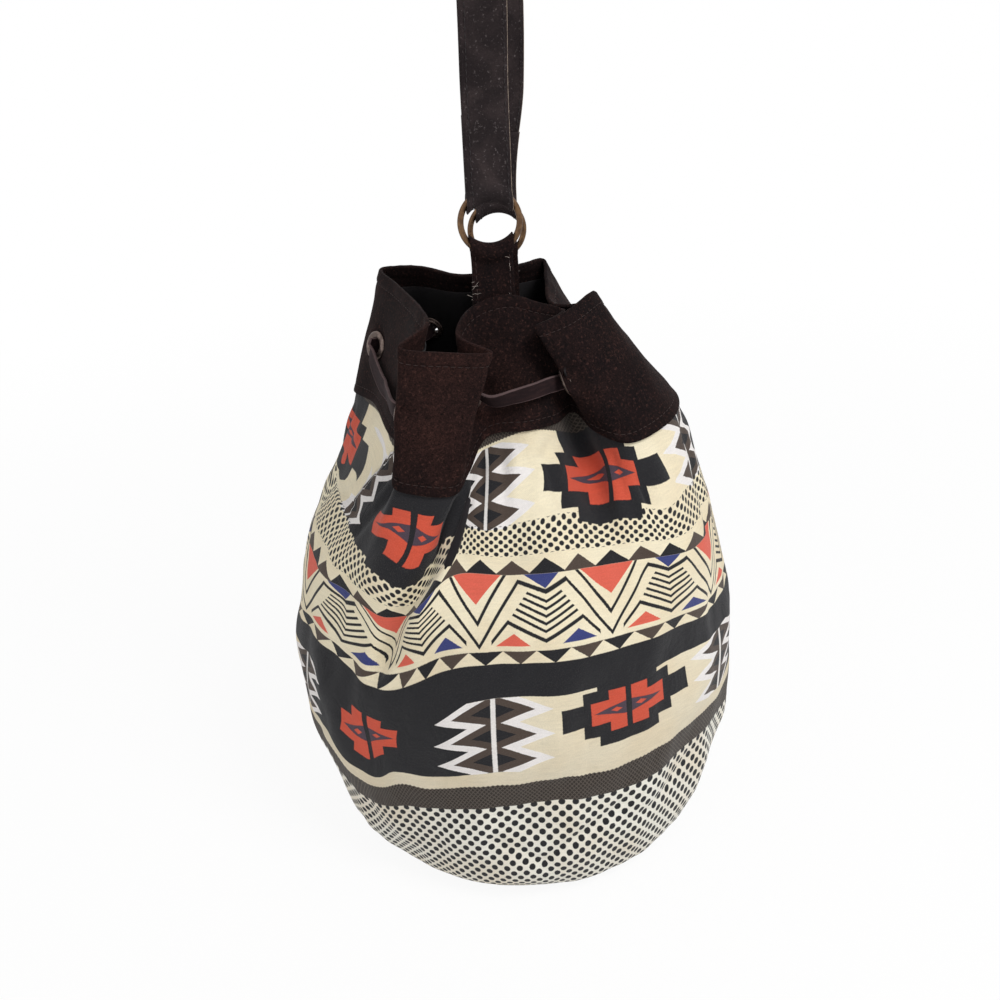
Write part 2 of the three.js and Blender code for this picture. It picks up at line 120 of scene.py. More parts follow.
# The rings, the tabs that hold them and the shoulder strap
RING_WIRE = 3.5
RING_INSIDE = 29.0
RING_RADIUS = (RING_INSIDE + RING_WIRE) / 2
WIRE_RADIUS = RING_WIRE / 2
RING_SWING = math.radians(25)
SWING_SLACK = 0.3
TAB_WIDTH = 24.0
TAB = 1.7
TAB_SEWN = 32.0
STRAP_WIDTH = 25.0
STRAP = 2.6
STRAP_DROP = 300.0
STRAP_END = 34.0
STRAP_ARCH = 25.0
STRAP_LEAN = 12.0
STRAND_SHIFT = 6.5
FRONT_RING = (-7.0, GATHERS[0][0][1] + BAND_WALL + CLEARANCE + TAB + CLEARANCE / 2, RIM_HEIGHT + 44)
BACK_RING = (5.0, GATHERS[11][0][1] - BAND_WALL - CLEARANCE - TAB - CLEARANCE / 2, RIM_HEIGHT + 28)


def srgb(red, green, blue):
    """A colour given as the photograph shows it, 0 to 255, as linear light."""
    parts = (red / 255, green / 255, blue / 255)
    return tuple(c / 12.92 if c <= 0.04045 else ((c + 0.055) / 1.055) ** 2.4 for c in parts)


def smoothstep(value, start, end):
    """A share from 0 at the start to 1 at the end, with soft ends."""
    share = np.clip((np.asarray(value, float) - start) / (end - start), 0, 1)
    return share * share * (3 - 2 * share)


def through(points, per_span, closed=False):
    """A centripetal spline through points, as the part's curves are."""
    points = np.asarray(points, float)
    count = len(points)
    spans = []
    for i in range(count if closed else count - 1):
        here, after = points[i], points[(i + 1) % count]
        if closed:
            before, beyond = points[i - 1], points[(i + 2) % count]
        else:
            before = points[i - 1] if i else 2 * here - after
            beyond = points[i + 2] if i + 2 < count else 2 * after - here
        steps = [max(np.sum((b - a) ** 2) ** 0.25, 1e-4)
                 for a, b in ((before, here), (here, after), (after, beyond))]
        leave = ((here - before) / steps[0] - (after - before) / (steps[0] + steps[1])
                 + (after - here) / steps[1]) * steps[1]
        arrive = ((after - here) / steps[1] - (beyond - here) / (steps[1] + steps[2])
                  + (beyond - after) / steps[2]) * steps[1]
        share = np.arange(per_span)[:, None] / per_span
        spans.append(here + leave * share + (3 * (after - here) - 2 * leave - arrive) * share ** 2
                     + (2 * (here - after) + leave + arrive) * share ** 3)
    line = np.concatenate(spans)
    return line if closed else np.vstack([line, points[-1]])


def line_lengths(line):
    """The length of a polyline up to each of its points."""
    return np.concatenate([[0], np.cumsum(np.linalg.norm(np.diff(line, axis=0), axis=1))])


def unit(vectors):
    """Vectors scaled to a length of 1, along their last axis."""
    return vectors / np.linalg.norm(vectors, axis=-1, keepdims=True)


def gather_rings(per_station):
    """The rim, the band's lower edge and the turn round the body, point by point."""
    rim = through([(x, y, RIM_HEIGHT + rise) for (x, y, rise), _, _ in GATHERS], per_station, True)
    hem = through([(x, y, SEAM_HEIGHT + rise) for _, (x, y, rise), _ in GATHERS], per_station, True)
    turns = [turn for _, _, turn in GATHERS] + [GATHERS[0][2] + 360]
    turn = np.concatenate([np.linspace(a, b, per_station, endpoint=False)
                           for a, b in zip(turns, turns[1:])])
    return rim, hem, np.radians(turn)


def band_rows(levels, per_station=FINE):
    """Rows of the band from its rim (0) to its lower edge (1)."""
    rim, hem, _ = gather_rings(per_station)
    return np.array([rim + (hem - rim) * level for level in levels])


def base_point(points):
    """Points near the base, drawn to its slightly oval outline."""
    share = 1 - smoothstep(points[..., 2], 0, BASE_FADE)
    factor = np.stack([1 - BASE_NARROWING * share, 1 + BASE_LENGTHENING * share,
                       np.ones_like(share)], -1)
    return points * factor


def round_points(turn, radius, height):
    """Points on a circle, turned from the front."""
    return np.stack([radius * np.sin(turn), -radius * np.cos(turn), np.full_like(turn, height)], -1)


def body_profile():
    """The wall's outline from base to seam as (radius, height), and the share of its length."""
    rise = SEAM_HEIGHT - BELLY_HEIGHT
    line = through([
        (BASE_RADIUS, CLEARANCE), (BASE_RADIUS + 8, 2.5), (BASE_RADIUS + 15, 9), (BASE_RADIUS + 22, 24),
        (BELLY_RADIUS - 2, BELLY_HEIGHT * 0.55), (BELLY_RADIUS + 1, BELLY_HEIGHT),
        (BELLY_RADIUS - 4, BELLY_HEIGHT + rise * 0.29),
        ((BELLY_RADIUS + SHOULDER_RADIUS) / 2 + 7, BELLY_HEIGHT + rise * 0.55),
        (SHOULDER_RADIUS + 15, BELLY_HEIGHT + rise * 0.78), (SHOULDER_RADIUS, SEAM_HEIGHT)], 40)
    along = line_lengths(line)
    return line, along / along[-1]


def body_rows(levels):
    """Rows of the body from the seam (1) to the base (0)."""
    _, hem, turn = gather_rings(FINE)
    line, share = body_profile()
    offset = hem - round_points(turn, SHOULDER_RADIUS, SEAM_HEIGHT)
    rows = []
    for level in levels:
        radius, height = np.interp(level, share, line[:, 0]), np.interp(level, share, line[:, 1])
        fade = smoothstep(height, SEAM_HEIGHT - FOLD_FADE, SEAM_HEIGHT)
        rows.append(base_point(round_points(turn, radius, height)) + offset * fade)
    return np.array(rows)


def row_normals(rows):
    """Outward normals of rows that run from top to bottom and close round the bag."""
    around = np.roll(rows, -1, axis=1) - np.roll(rows, 1, axis=1)
    return unit(np.cross(np.gradient(rows, axis=0), around))


def band_place(station, level):
    """The middle of the band's wall at a station, and the outward normal, as the part has them."""
    reach = 0.3

    def at(place, height):
        position = (place % STATIONS) * COARSE
        row = band_rows([height], COARSE)[0]
        start = int(position)
        share = position - start
        return row[start % len(row)] * (1 - share) + row[(start + 1) % len(row)] * share

    around = at(station + reach, level) - at(station - reach, level)
    down = at(station, level + reach) - at(station, level - reach)
    outward = unit(np.cross(down, around))
    return at(station, level) - outward * BAND_WALL / 2, outward


def eyelet_places():
    """Each eyelet's middle and outward normal. The left one is turned a little to the front."""
    places = [band_place(station, EYELET_LEVEL) for station in EYELET_STATIONS]
    centre, outward = places[LEFT_EYELET]
    places[LEFT_EYELET] = (centre, unit(outward + np.array([0.0, -0.30, 0.05])))
    return places


EYELETS = eyelet_places()


def waves(across, up, size, seed):
    """Soft seeded unevenness between about -1 and 1, with features of the given size."""
    rng = np.random.default_rng(seed)
    total = np.zeros(np.broadcast(across, up).shape)
    for _ in range(7):
        angle, phase = rng.uniform(0, 2 * math.pi, 2)
        pitch = size * rng.uniform(0.7, 1.5)
        total += np.sin((across * math.cos(angle) + up * math.sin(angle)) * 2 * math.pi / pitch + phase)
    return total / 3.2


def metres(points):
    """Points in millimetres as a list in metres."""
    return (np.asarray(points, float) / 1000).tolist()


def millimetres(size):
    """A size from a panel, in metres, as millimetres."""
    return round(size * 1000, 4)


def new_object(name, points, faces):
    """A smooth-shaded mesh object from points in millimetres."""
    mesh = bpy.data.meshes.new(name)
    mesh.from_pydata(metres(points), [], faces)
    mesh.update()
    piece = bpy.data.objects.new(name, mesh)
    bpy.context.scene.collection.objects.link(piece)
    mesh.shade_smooth()
    return piece


def grid_faces(rows, columns, close_rows=False):
    """Quads over a grid of points, outward where rows run down and columns run round."""
    faces = []
    for r in range(rows if close_rows else rows - 1):
        below = (r + 1) % rows
        for c in range(columns):
            right = (c + 1) % columns
            faces.append((r * columns + c, below * columns + c, below * columns + right, r * columns + right))
    return faces


def capped_faces(rows, columns):
    """Quads along a tube of points, with one face over each end."""
    faces = grid_faces(rows, columns)
    faces.append(tuple(range(columns)))
    faces.append(tuple(reversed(range((rows - 1) * columns, rows * columns))))
    return faces


def closed_piece(name, points, faces):
    """A closed mesh object with its faces turned outwards."""
    piece = new_object(name, points, faces)
    if signed_volume(piece) < 0:
        piece.data.flip_normals()
    return piece


def set_uv(piece, uv):
    """A UV map in metres from one (across, up) pair in millimetres for each corner of each face."""
    layer = piece.data.uv_layers.new(name="cloth")
    layer.data.foreach_set("uv", (np.asarray(uv, float) / 1000).astype(np.float32).ravel())


def at_corners(piece, values):
    """Values given for each point, repeated for each corner of each face."""
    corners = np.empty(len(piece.data.loops), np.int32)
    piece.data.loops.foreach_get("vertex_index", corners)
    return np.asarray(values, float)[corners]


def set_value(piece, name, values):
    """An attribute with one number for each point."""
    layer = piece.data.attributes.new(name, "FLOAT", "POINT")
    layer.data.foreach_set("value", np.asarray(values, np.float32).ravel())


def select_only(*pieces):
    """Selects these objects alone, the first one active."""
    bpy.ops.object.select_all(action="DESELECT")
    for piece in pieces:
        piece.select_set(True)
    bpy.context.view_layer.objects.active = pieces[0]


def join(pieces, name):
    """Joins objects into one."""
    select_only(*pieces)
    bpy.ops.object.join()
    joined = bpy.context.view_layer.objects.active
    joined.name = joined.data.name = name
    return joined


def finish(piece, body, slot, *nodes, material=None):
    """Gives a piece its material and its body, and hides the CAD nodes that it stands for. The slot is not
    used.
    """
    if material is not None:
        piece.data.materials.clear()
        piece.data.materials.append(material)
    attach(piece, body)
    if nodes:
        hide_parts(*nodes)


def cloth_edge(outer, inner, before):
    """Two rows that round a wall's cut edge, from its outer to its inner face."""
    middle = (outer + inner) / 2
    thickness = np.linalg.norm(outer - inner, axis=1, keepdims=True)
    outward = (outer - inner) / thickness
    beyond = unit(outer - before) * thickness * 0.3
    return [middle + outward * thickness * 0.35 + beyond, middle - outward * thickness * 0.35 + beyond]


def shell(name, outer, inner):
    """A closed cloth wall between an outer and an inner set of rows, with rounded edges."""
    rows = list(outer) + cloth_edge(outer[-1], inner[-1], outer[-2])
    rows += list(inner[::-1]) + cloth_edge(outer[0], inner[0], outer[1])[::-1]
    grid = np.array(rows)
    return new_object(name, grid.reshape(-1, 3), grid_faces(len(grid), grid.shape[1], close_rows=True))


def signed_volume(piece):
    """Six times the volume of a closed mesh, below 0 where its faces point inwards."""
    mesh = piece.data
    mesh.calc_loop_triangles()
    points = np.array([v.co for v in mesh.vertices], float)
    corners = np.array([t.vertices for t in mesh.loop_triangles])
    a, b, c = points[corners[:, 0]], points[corners[:, 1]], points[corners[:, 2]]
    return float(np.sum(a * np.cross(b, c)))


def tube(path, radius, sides):
    """Points and faces of a closed round thread along a path, tapered at its ends."""
    path = np.asarray(path, float)
    tangents = unit(np.gradient(path, axis=0))
    reference = np.array([0.3, 0.2, 0.93])
    first = unit(np.cross(tangents, reference))
    second = np.cross(tangents, first)
    radii = np.full(len(path), float(radius))
    radii[[0, -1]] *= 0.45
    angles = np.arange(sides) * 2 * math.pi / sides
    grid = (path[:, None] + first[:, None] * (np.cos(angles)[None, :, None] * radii[:, None, None])
            + second[:, None] * (np.sin(angles)[None, :, None] * radii[:, None, None]))
    return grid.reshape(-1, 3), capped_faces(len(path), sides)


def threads(name, paths, radius, sides=5):
    """Many separate closed threads as one object."""
    points, faces = [], []
    start = 0
    for path in paths:
        some, quads = tube(path, radius, sides)
        points.append(some)
        faces += [tuple(start + i for i in face) for face in quads]
        start += len(some)
    return closed_piece(name, np.concatenate(points), faces)


def stitches(line, normals, pitch, length, height, sink, closed=True):
    """Paths of sewing stitches along a line that lies on a surface with these normals."""
    steps = 5
    if closed:
        line, normals = np.vstack([line, line[:1]]), np.vstack([normals, normals[:1]])
    along = line_lengths(line)
    count = int(along[-1] // pitch)
    pitch = along[-1] / count
    paths = []
    for k in range(count):
        places = (k + 0.5) * pitch + np.linspace(-0.5, 0.5, steps) * length
        bow = height * (1 - np.linspace(-1, 1, steps) ** 4) - sink
        spot = np.stack([np.interp(places, along, line[:, a]) for a in range(3)], 1)
        normal = unit(np.stack([np.interp(places, along, normals[:, a]) for a in range(3)], 1))
        paths.append(spot + normal * bow[:, None])
    return paths


# This script's own materials by name
MADE = {}


class Tones:
    """Builds the nodes of a material or the world. Numbers and sockets are both taken as inputs."""

    def __init__(self, owner):
        self.owner = owner
        owner.use_nodes = True
        self.nodes = owner.node_tree.nodes
        self.links = owner.node_tree.links
        self.nodes.clear()

    def feed(self, socket, value):
        if isinstance(value, Field):
            value = value.socket
        if isinstance(value, bpy.types.NodeSocket):
            self.links.new(value, socket)
        elif hasattr(value, "__len__") and len(value) == 3 and len(socket.default_value) == 4:
            socket.default_value = (*value, 1)
        else:
            socket.default_value = value

    def node(self, kind, inputs=(), **settings):
        node = self.nodes.new(kind)
        for key, value in settings.items():
            setattr(node, key, value)
        for key, value in dict(inputs).items():
            self.feed(node.inputs[key], value)
        return node

    def math(self, operation, *values, clamp=False):
        node = self.node("ShaderNodeMath", dict(enumerate(values)), operation=operation, use_clamp=clamp)
        return Field(self, node.outputs[0])

    def pick(self, low, high, share):
        """A colour between two, by a share from 0 to 1."""
        node = self.node("ShaderNodeMix", data_type="RGBA")
        for socket, value in ((node.inputs[0], share), (node.inputs[6], low), (node.inputs[7], high)):
            self.feed(socket, value)
        return node.outputs[2]

    def brightened(self, colour, value, saturation=1.0):
        """A colour whose brightness is multiplied by a value."""
        return self.node("ShaderNodeHueSaturation", {
            "Color": colour, "Value": value, "Saturation": saturation}).outputs[0]

    def place(self, kind="Object"):
        return self.node("ShaderNodeTexCoord").outputs[kind]

    def noise(self, where, size, detail=3.0, rough=0.55, stretch=None, distortion=0.0):
        """Soft noise with features of a size in millimetres, from about 0 to 1."""
        if stretch is not None:
            where = self.node("ShaderNodeVectorMath", {0: where, 1: stretch}, operation="MULTIPLY").outputs[0]
        node = self.node("ShaderNodeTexNoise", {
            "Vector": where, "Scale": 1000 / size, "Detail": detail, "Roughness": rough,
            "Distortion": distortion})
        return Field(self, node.outputs["Fac"])

    def attribute(self, name):
        return Field(self, self.node("ShaderNodeAttribute", attribute_name=name).outputs["Fac"])

    def bump(self, height, depth, strength, normal=None):
        """A bump whose height of 1 is a depth in millimetres."""
        inputs = {"Strength": strength, "Distance": depth / 1000, "Height": height}
        if normal is not None:
            inputs["Normal"] = normal
        return self.node("ShaderNodeBump", inputs).outputs[0]

    def surface(self, **inputs):
        """Ends a material with a Principled surface, and returns the material."""
        shader = self.node("ShaderNodeBsdfPrincipled", {
            key.replace("_", " "): value for key, value in inputs.items()})
        self.node("ShaderNodeOutputMaterial", {"Surface": shader.outputs[0]})
        return self.owner

    def seen_directly(self):
        """1 for what the camera sees, also through or mirrored in a surface, and 0 for other light."""
        ray = self.node("ShaderNodeLightPath").outputs
        return self.math("MAXIMUM", self.math("MAXIMUM", ray["Is Camera Ray"], ray["Is Glossy Ray"]),
                         ray["Is Transmission Ray"])


def new_tones(name):
    """The nodes of a new material, which is kept in MADE."""
    MADE[name] = bpy.data.materials.new(name)
    return Tones(MADE[name])


class Field:
    """A number that varies over a surface, with plain arithmetic."""

    def __init__(self, tones, socket):
        self.tones, self.socket = tones, socket

    def __add__(self, other):
        return self.tones.math("ADD", self, other)

    def __sub__(self, other):
        return self.tones.math("SUBTRACT", self, other)

    def __rsub__(self, other):
        return self.tones.math("SUBTRACT", other, self)

    def __mul__(self, other):
        return self.tones.math("MULTIPLY", self, other)

    __radd__ = __add__
    __rmul__ = __mul__

    def __truediv__(self, other):
        return self.tones.math("DIVIDE", self, other)

    def __abs__(self):
        return self.tones.math("ABSOLUTE", self)

    def most(self, other):
        return self.tones.math("MAXIMUM", self, other)

    def least(self, other):
        return self.tones.math("MINIMUM", self, other)

    def over(self, limit):
        return self.tones.math("GREATER_THAN", self, limit)

    def bounce(self, half):
        """A triangle wave from 0 to half, 0 at 0."""
        return self.tones.math("PINGPONG", self, half)

    def wrap(self, low, high):
        return self.tones.math("WRAP", self, high, low)

    def sine(self, pitch):
        return self.tones.math("SINE", self * (2 * math.pi / pitch))

    def edge(self, softness):
        """1 where this is above 0 and 0 below, over a soft edge."""
        return self.tones.math("MULTIPLY_ADD", self, 1 / softness, 0.5, clamp=True)

    def between(self, low, high):
        """This number spread so that low is 0 and high is 1, and clamped."""
        return self.tones.math("MULTIPLY_ADD", self, 1 / (high - low), -low / (high - low), clamp=True)


# The printed pattern, in millimetres of flat cloth. Crosses alternate on cream and black fields,
# with a stack of diamonds between them. Between the two rows of crosses run dots, triangles and a
# zigzag band, and a mesh band and large dots run below.
INK_EDGE = 0.35
CROSS_PITCH = 164.0
CHEVRON_PITCH = CROSS_PITCH / 2
FIRST_CROSS = 49.0
CROSS_HEIGHT = 139.0
CROSS_RISE = 133.0
UPPER_FROM = 205.0
STACK_FOOT = 110.5
STACK_RISE = 143.5
STACK_HEIGHT = 45.5
FIELD_HEIGHT = 60.0
ZIGZAG_TOP = 225.5
ZIGZAG_DEPTH = 42.0
TOOTH_PITCH = 20.5
LOWER_TEETH = (175.5, 183.0)
BLACK_BAND = (156.0, 175.9)
SMALL_DOTS = (237.0, 255.6)
LARGE_DOTS_TOP = 89.0
LOWER_MESH = (85.2, 102.2)
UPPER_MESH = 301.5
# Taken off a shape's field, this leaves none of it
NONE = 50


def box_field(across, up, half_across, half_up):
    """Distance inside a box, above 0 within it."""
    return (half_across - across).least(half_up - up)


def print_cross(to_cross, above):
    """A stepped cross: its black body, its orange middle, and the purple lens with an orange kernel."""
    rise = abs(above)
    black = box_field(to_cross, rise, 45, 7.2)
    for half_across, half_up in ((30.5, 14.5), (20.5, 20.8)):
        black = black.most(box_field(to_cross, rise, half_across, half_up))
    black = black.most(above.least(30 - above).least(20.5 - to_cross))
    slit = to_cross - 1.9
    orange = box_field(to_cross, rise, 25.5, 7.0).most(box_field(to_cross, rise, 12.8, 13)).least(slit)
    purple = ((1 - to_cross / 23.5) * 4.6 - rise).least(slit).edge(INK_EDGE)
    kernel = (1 - abs(to_cross - 8.2) / 3.6) * 1.5 - rise
    return black, (orange.edge(INK_EDGE) - purple).most(kernel.edge(INK_EDGE)), purple


def print_stack(side, low):
    """A stack of brown diamonds with black cores, white edges and axis, and the black field beside it."""
    away = abs(side)
    in_stack = low.least(STACK_HEIGHT - low)
    width = (low - 0.3).bounce(7.55) * 2.5 + 3.8
    brown, core, axis, outline = [
        (reach - away).least(in_stack) for reach in (width, width - 11, 1.3, width + 10)]
    field = (side - width - 10).least(low).least(FIELD_HEIGHT - low)
    return field, brown, core.edge(INK_EDGE), axis.edge(INK_EDGE), outline.edge(INK_EDGE)


def print_zigzag(across, up):
    """The zigzag band: its black lines, and its red and blue shapes."""
    half = CHEVRON_PITCH / 2
    fan = (across - 0.5).wrap(-half, half)
    out = abs(fan)
    valley = half - out
    depth = ZIGZAG_TOP - up
    in_band = depth.least(ZIGZAG_DEPTH - depth)
    outer = (10 - out * 0.43).most((out - 14) * 1.315 + 4)
    inner = 27.5 - valley * 1.42
    foot = (37 - out * 0.467).most(26.5 + (out - 22.5))
    line = (0.95 - abs(depth - outer) * 0.68).most(0.95 - abs(depth - inner) * 0.62)
    line = line.most((0.95 - abs(depth - foot) * 0.8).least(33.5 - out))
    ribs = depth + out * 0.5 - 15.5
    rib = (0.78 - abs(ribs.wrap(-2.05, 2.05)) * 0.9).least((depth - 4) * 0.76 + 5.4 - out)
    rib = rib.least((ribs + 1.5).least(18.2 - ribs))
    blue_top = (10 * (1 - depth / 8.2) - out).least(in_band)
    red_top = (17 * (1 - depth / 17.5) - valley).least(in_band)
    shapes = (depth - 31.4 - abs(out - 21) * 0.72).least(39.6 - depth)
    shapes = shapes.least(depth - 31.8 - abs(out - 18) * 0.6)
    right = fan.over(0)
    red = red_top.most(shapes - right * NONE)
    blue = blue_top.most(shapes - (1 - right) * NONE)
    return line.most(rib).least(in_band), red, blue


def print_teeth(across, up):
    """Triangles above and below the zigzag band, and which of them are dark."""
    start = across - 4.5
    tooth = start.bounce(TOOTH_PITCH / 2)
    dark = (start + TOOTH_PITCH / 2).wrap(-TOOTH_PITCH, TOOTH_PITCH).over(0)
    above = up - ZIGZAG_TOP
    bottom, top = LOWER_TEETH
    teeth = (9 - tooth * 0.8 - above).least(above)
    return teeth.most((up - bottom - tooth * 0.73).least(top - up)), dark


def to_dot(tones, across, up, half_across, half_up, squash=1.0):
    """The distance to the nearest of staggered dots."""
    across, up = across.wrap(-half_across, half_across), up.wrap(-half_up, half_up)
    reaches = [tones.math("SQRT", a * a + b * b * squash)
               for a, b in ((across, up), (abs(across) - half_across, abs(up) - half_up))]
    return reaches[0].least(reaches[1])


def print_mesh(across, up):
    """The mesh bands near the foot and under the seam, and the pale net on them."""
    foot, top = LOWER_MESH
    scallop = across.bounce(1.35) * 0.45
    bands = (up - foot).least(top - scallop - up).most(up - UPPER_MESH + scallop)
    slope = up * 0.85
    return bands, (0.34 - (across + slope).bounce(1.3)).most(0.34 - (across - slope).bounce(1.3))


def print_inks(tones, across, up):
    """How much of each ink there is at a point of the flat cloth."""
    upper = up.over(UPPER_FROM)
    turn_over = (across - FIRST_CROSS).bounce(CROSS_PITCH)
    cross, orange, purple = print_cross(turn_over.least(CROSS_PITCH - turn_over),
                                        up - CROSS_HEIGHT - upper * CROSS_RISE)
    field, brown, core, axis, outline = print_stack(turn_over - CHEVRON_PITCH,
                                                    up - STACK_FOOT - upper * STACK_RISE)
    line, red, blue = print_zigzag(across, up)
    teeth, dark = print_teeth(across, up)
    low, high = SMALL_DOTS
    dots = (1.5 - to_dot(tones, across, up - 238.6, 3.2, 2.58, 1.15)).least((up - low).least(high - up))
    dots = dots.most((2.05 - to_dot(tones, across, up - 1.0, 4.1, 3.95)).least(LARGE_DOTS_TOP - up))
    mesh, net = print_mesh(across, up)
    low, high = BLACK_BAND
    black = cross.most(field).most(teeth - (1 - dark) * NONE).most(dots).most((up - low).least(high - up))
    return {
        "white": outline, "brown": brown.most(teeth - dark * NONE).edge(INK_EDGE),
        "black": black.most(line).edge(INK_EDGE), "core": core, "purple": purple, "orange": orange,
        "red": red.edge(INK_EDGE), "blue": blue.edge(INK_EDGE), "line": axis,
        "mesh": mesh.edge(0.5), "net": net.edge(0.3),
    }


def printed_canvas(colours):
    """Woven cotton with the geometric print, which follows the cloth by its UV map."""
    tones = new_tones("printed_canvas")
    uv = tones.place("UV")
    parts = tones.node("ShaderNodeSeparateXYZ", {0: uv})
    rough_edge = tones.noise(uv, 1.1, 1.0) - 0.5
    across = Field(tones, parts.outputs[0]) * 1000 + rough_edge * 0.5
    up = Field(tones, parts.outputs[1]) * 1000 + rough_edge * 0.4
    inks = print_inks(tones, across, up)

    # Darker towards the bottom: partly painted shade, as the lower part faces down away from the light, and
    # partly the cloth's own beige.
    cloth = tones.pick(colours.shade, colours.cream, up.between(95, 190))
    cloth = tones.pick(cloth, srgb(234, 231, 220), (92 - up).edge(6))
    # Random brownish patches over the cloth.
    brownish_patches = tones.noise(uv, 48, 2.5).between(0.42, 0.8)
    cloth = tones.pick(cloth, srgb(214, 186, 142), brownish_patches * 0.45)
    colour = tones.pick(cloth, srgb(236, 232, 232), inks["white"] * 0.9)
    for ink, shade in (("brown", colours.ink_brown), ("core", colours.ink_black),
                       ("black", colours.ink_black), ("purple", srgb(74, 60, 72)),
                       ("orange", colours.ink_red), ("red", srgb(218, 94, 74)),
                       ("blue", colours.ink_blue), ("line", srgb(232, 228, 224))):
        colour = tones.pick(colour, shade, inks[ink])
    mesh_tone = tones.pick(srgb(46, 40, 37), srgb(98, 89, 80), inks["net"] * 0.7)
    colour = tones.pick(colour, mesh_tone, inks["mesh"])

    weave = across.sine(0.92) * up.sine(0.78)
    slub = tones.noise(uv, 2.2, 2.0, stretch=(0.25, 1.6, 1))
    fade = tones.noise(uv, 0.8, 1.0)
    mottle = weave * 0.07 + (slub - 0.5) * 0.22 + (fade - 0.5) * 0.24
    crest = (weave * 0.5 + fade - 0.5).between(0.25, 0.6)
    colour = tones.pick(colour, srgb(236, 224, 206), crest * 0.05)
    colour = tones.brightened(colour, mottle + 1.0, 0.98)
    normal = tones.bump(weave * 0.35 + slub * 0.5 + fade * 0.4, 0.2, 0.85)
    creases = tones.noise(uv, 19, 3.5, stretch=(1.0, 0.7, 1), distortion=0.8)
    normal = tones.bump(creases, 2.6, 0.5, normal)
    return tones.surface(Base_Color=colour, Roughness=0.9, Normal=normal, Sheen_Weight=0.12,
                         Sheen_Roughness=0.5, Specular_IOR_Level=0.22)


def suede(name, colour, light, brushed, spot, highlight_reach):
    """Napped suede: short fibres that catch the light in brushed patches at random, and a painted highlight
    round a spot where the suede faces the light.
    """
    tones = new_tones(name)
    where = tones.place()
    patches = tones.noise(where, 26, 3.0, distortion=0.6)
    strokes = tones.noise(where, 7, 3.5, stretch=(1, 1, 0.35))
    grain = tones.noise(where, 1.5, 2.5, rough=0.7)
    fine = tones.noise(where, 0.7, 1.0)
    nap = tones.noise(where, 1.7, 3.0, rough=0.75).between(0.55, 0.72)
    share = (patches.between(0.42, 0.72) * 0.55 + strokes.between(0.4, 0.75) * 0.45) * brushed
    # Painted highlight: the suede is made lighter round the spot, fading out over the given reach, where the
    # left front fold faces the light.
    away = tones.node("ShaderNodeVectorMath", {0: where, 1: tuple(c / 1000 for c in spot)},
                      operation="DISTANCE").outputs["Value"]
    painted_highlight = Field(tones, away).between(highlight_reach / 1000, highlight_reach / 2500)
    share = share * 0.5 + painted_highlight * (patches * 0.7 + 0.05) * 0.8
    tone = tones.brightened(tones.pick(colour, light, share), (grain - 0.5) * 2.6 + (fine - 0.5) * 2.4 + 1.0)
    tone = tones.pick(tone, srgb(92, 62, 55), nap * 0.42)
    normal = tones.bump(grain * 0.6 + fine * 0.5 + strokes * 0.5, 0.3, 0.6)
    return tones.surface(Base_Color=tone, Roughness=0.93, Normal=normal, Sheen_Weight=0.14,
                         Sheen_Roughness=0.45, Sheen_Tint=(*light, 1), Specular_IOR_Level=0.12)


def strap_suede(colours):
    """Charcoal suede with pale lint, and a lighter raw edge from an attribute."""
    tones = new_tones("strap_suede")
    where = tones.place()
    patches = tones.noise(where, 18, 3.0, distortion=0.5)
    grain = tones.noise(where, 0.9, 2.0)
    fine = tones.noise(where, 0.4, 1.0)
    lint = tones.noise(where, 1.5, 3.0, rough=0.7).between(0.6, 0.74)
    raw = tones.noise(where, 2.4, 3.0).between(0.35, 0.6)
    tone = tones.pick(colours.strap, colours.strap_light, patches.between(0.4, 0.72) * 0.6)
    tone = tones.pick(tone, srgb(158, 148, 148), lint * 0.3)
    tone = tones.pick(tone, srgb(206, 184, 164), tones.attribute("edge") * (raw * 0.5 + 0.35))
    tone = tones.brightened(tone, (grain - 0.5) * 0.6 + (fine - 0.5) * 0.8 + 1.0)
    normal = tones.bump(grain * 0.6 + fine * 0.5 + patches * 0.4, 0.28, 0.6)
    return tones.surface(Base_Color=tone, Roughness=0.94, Normal=normal, Sheen_Weight=0.3,
                         Sheen_Roughness=0.45, Sheen_Tint=(*colours.strap_light, 1), Specular_IOR_Level=0.15)


def thong_leather(colours):
    """Flat thong leather: a napped face, with smoother and paler cut edges from an attribute."""
    tones = new_tones("thong_leather")
    where = tones.place()
    fibres = tones.noise(where, 3.0, 4.0, stretch=(0.4, 0.4, 1.4))
    grain = tones.noise(where, 0.6, 2.0)
    tone = tones.pick(colours.thong, srgb(56, 38, 37), fibres.between(0.45, 0.75) * 0.5)
    tone = tones.pick(tone, colours.thong_edge, tones.attribute("edge") * (fibres * 0.7 + 0.4))
    tone = tones.brightened(tone, (grain - 0.5) * 0.5 + 1.0)
    normal = tones.bump(fibres * 0.5 + grain * 0.6, 0.22, 0.6)
    return tones.surface(Base_Color=tone, Roughness=0.86, Normal=normal, Sheen_Weight=0.05,
                         Sheen_Roughness=0.5, Sheen_Tint=(*colours.thong_edge, 1), Specular_IOR_Level=0.14)


def thread(name, colour):
    """Twisted sewing thread."""
    tones = new_tones(name)
    twist = tones.noise(tones.place(), 0.8, 2.0)
    tone = tones.brightened((*colour, 1), (twist - 0.5) * 0.6 + 1.0)
    return tones.surface(Base_Color=tone, Roughness=0.75, Normal=tones.bump(twist, 0.1, 0.6),
                         Specular_IOR_Level=0.3)


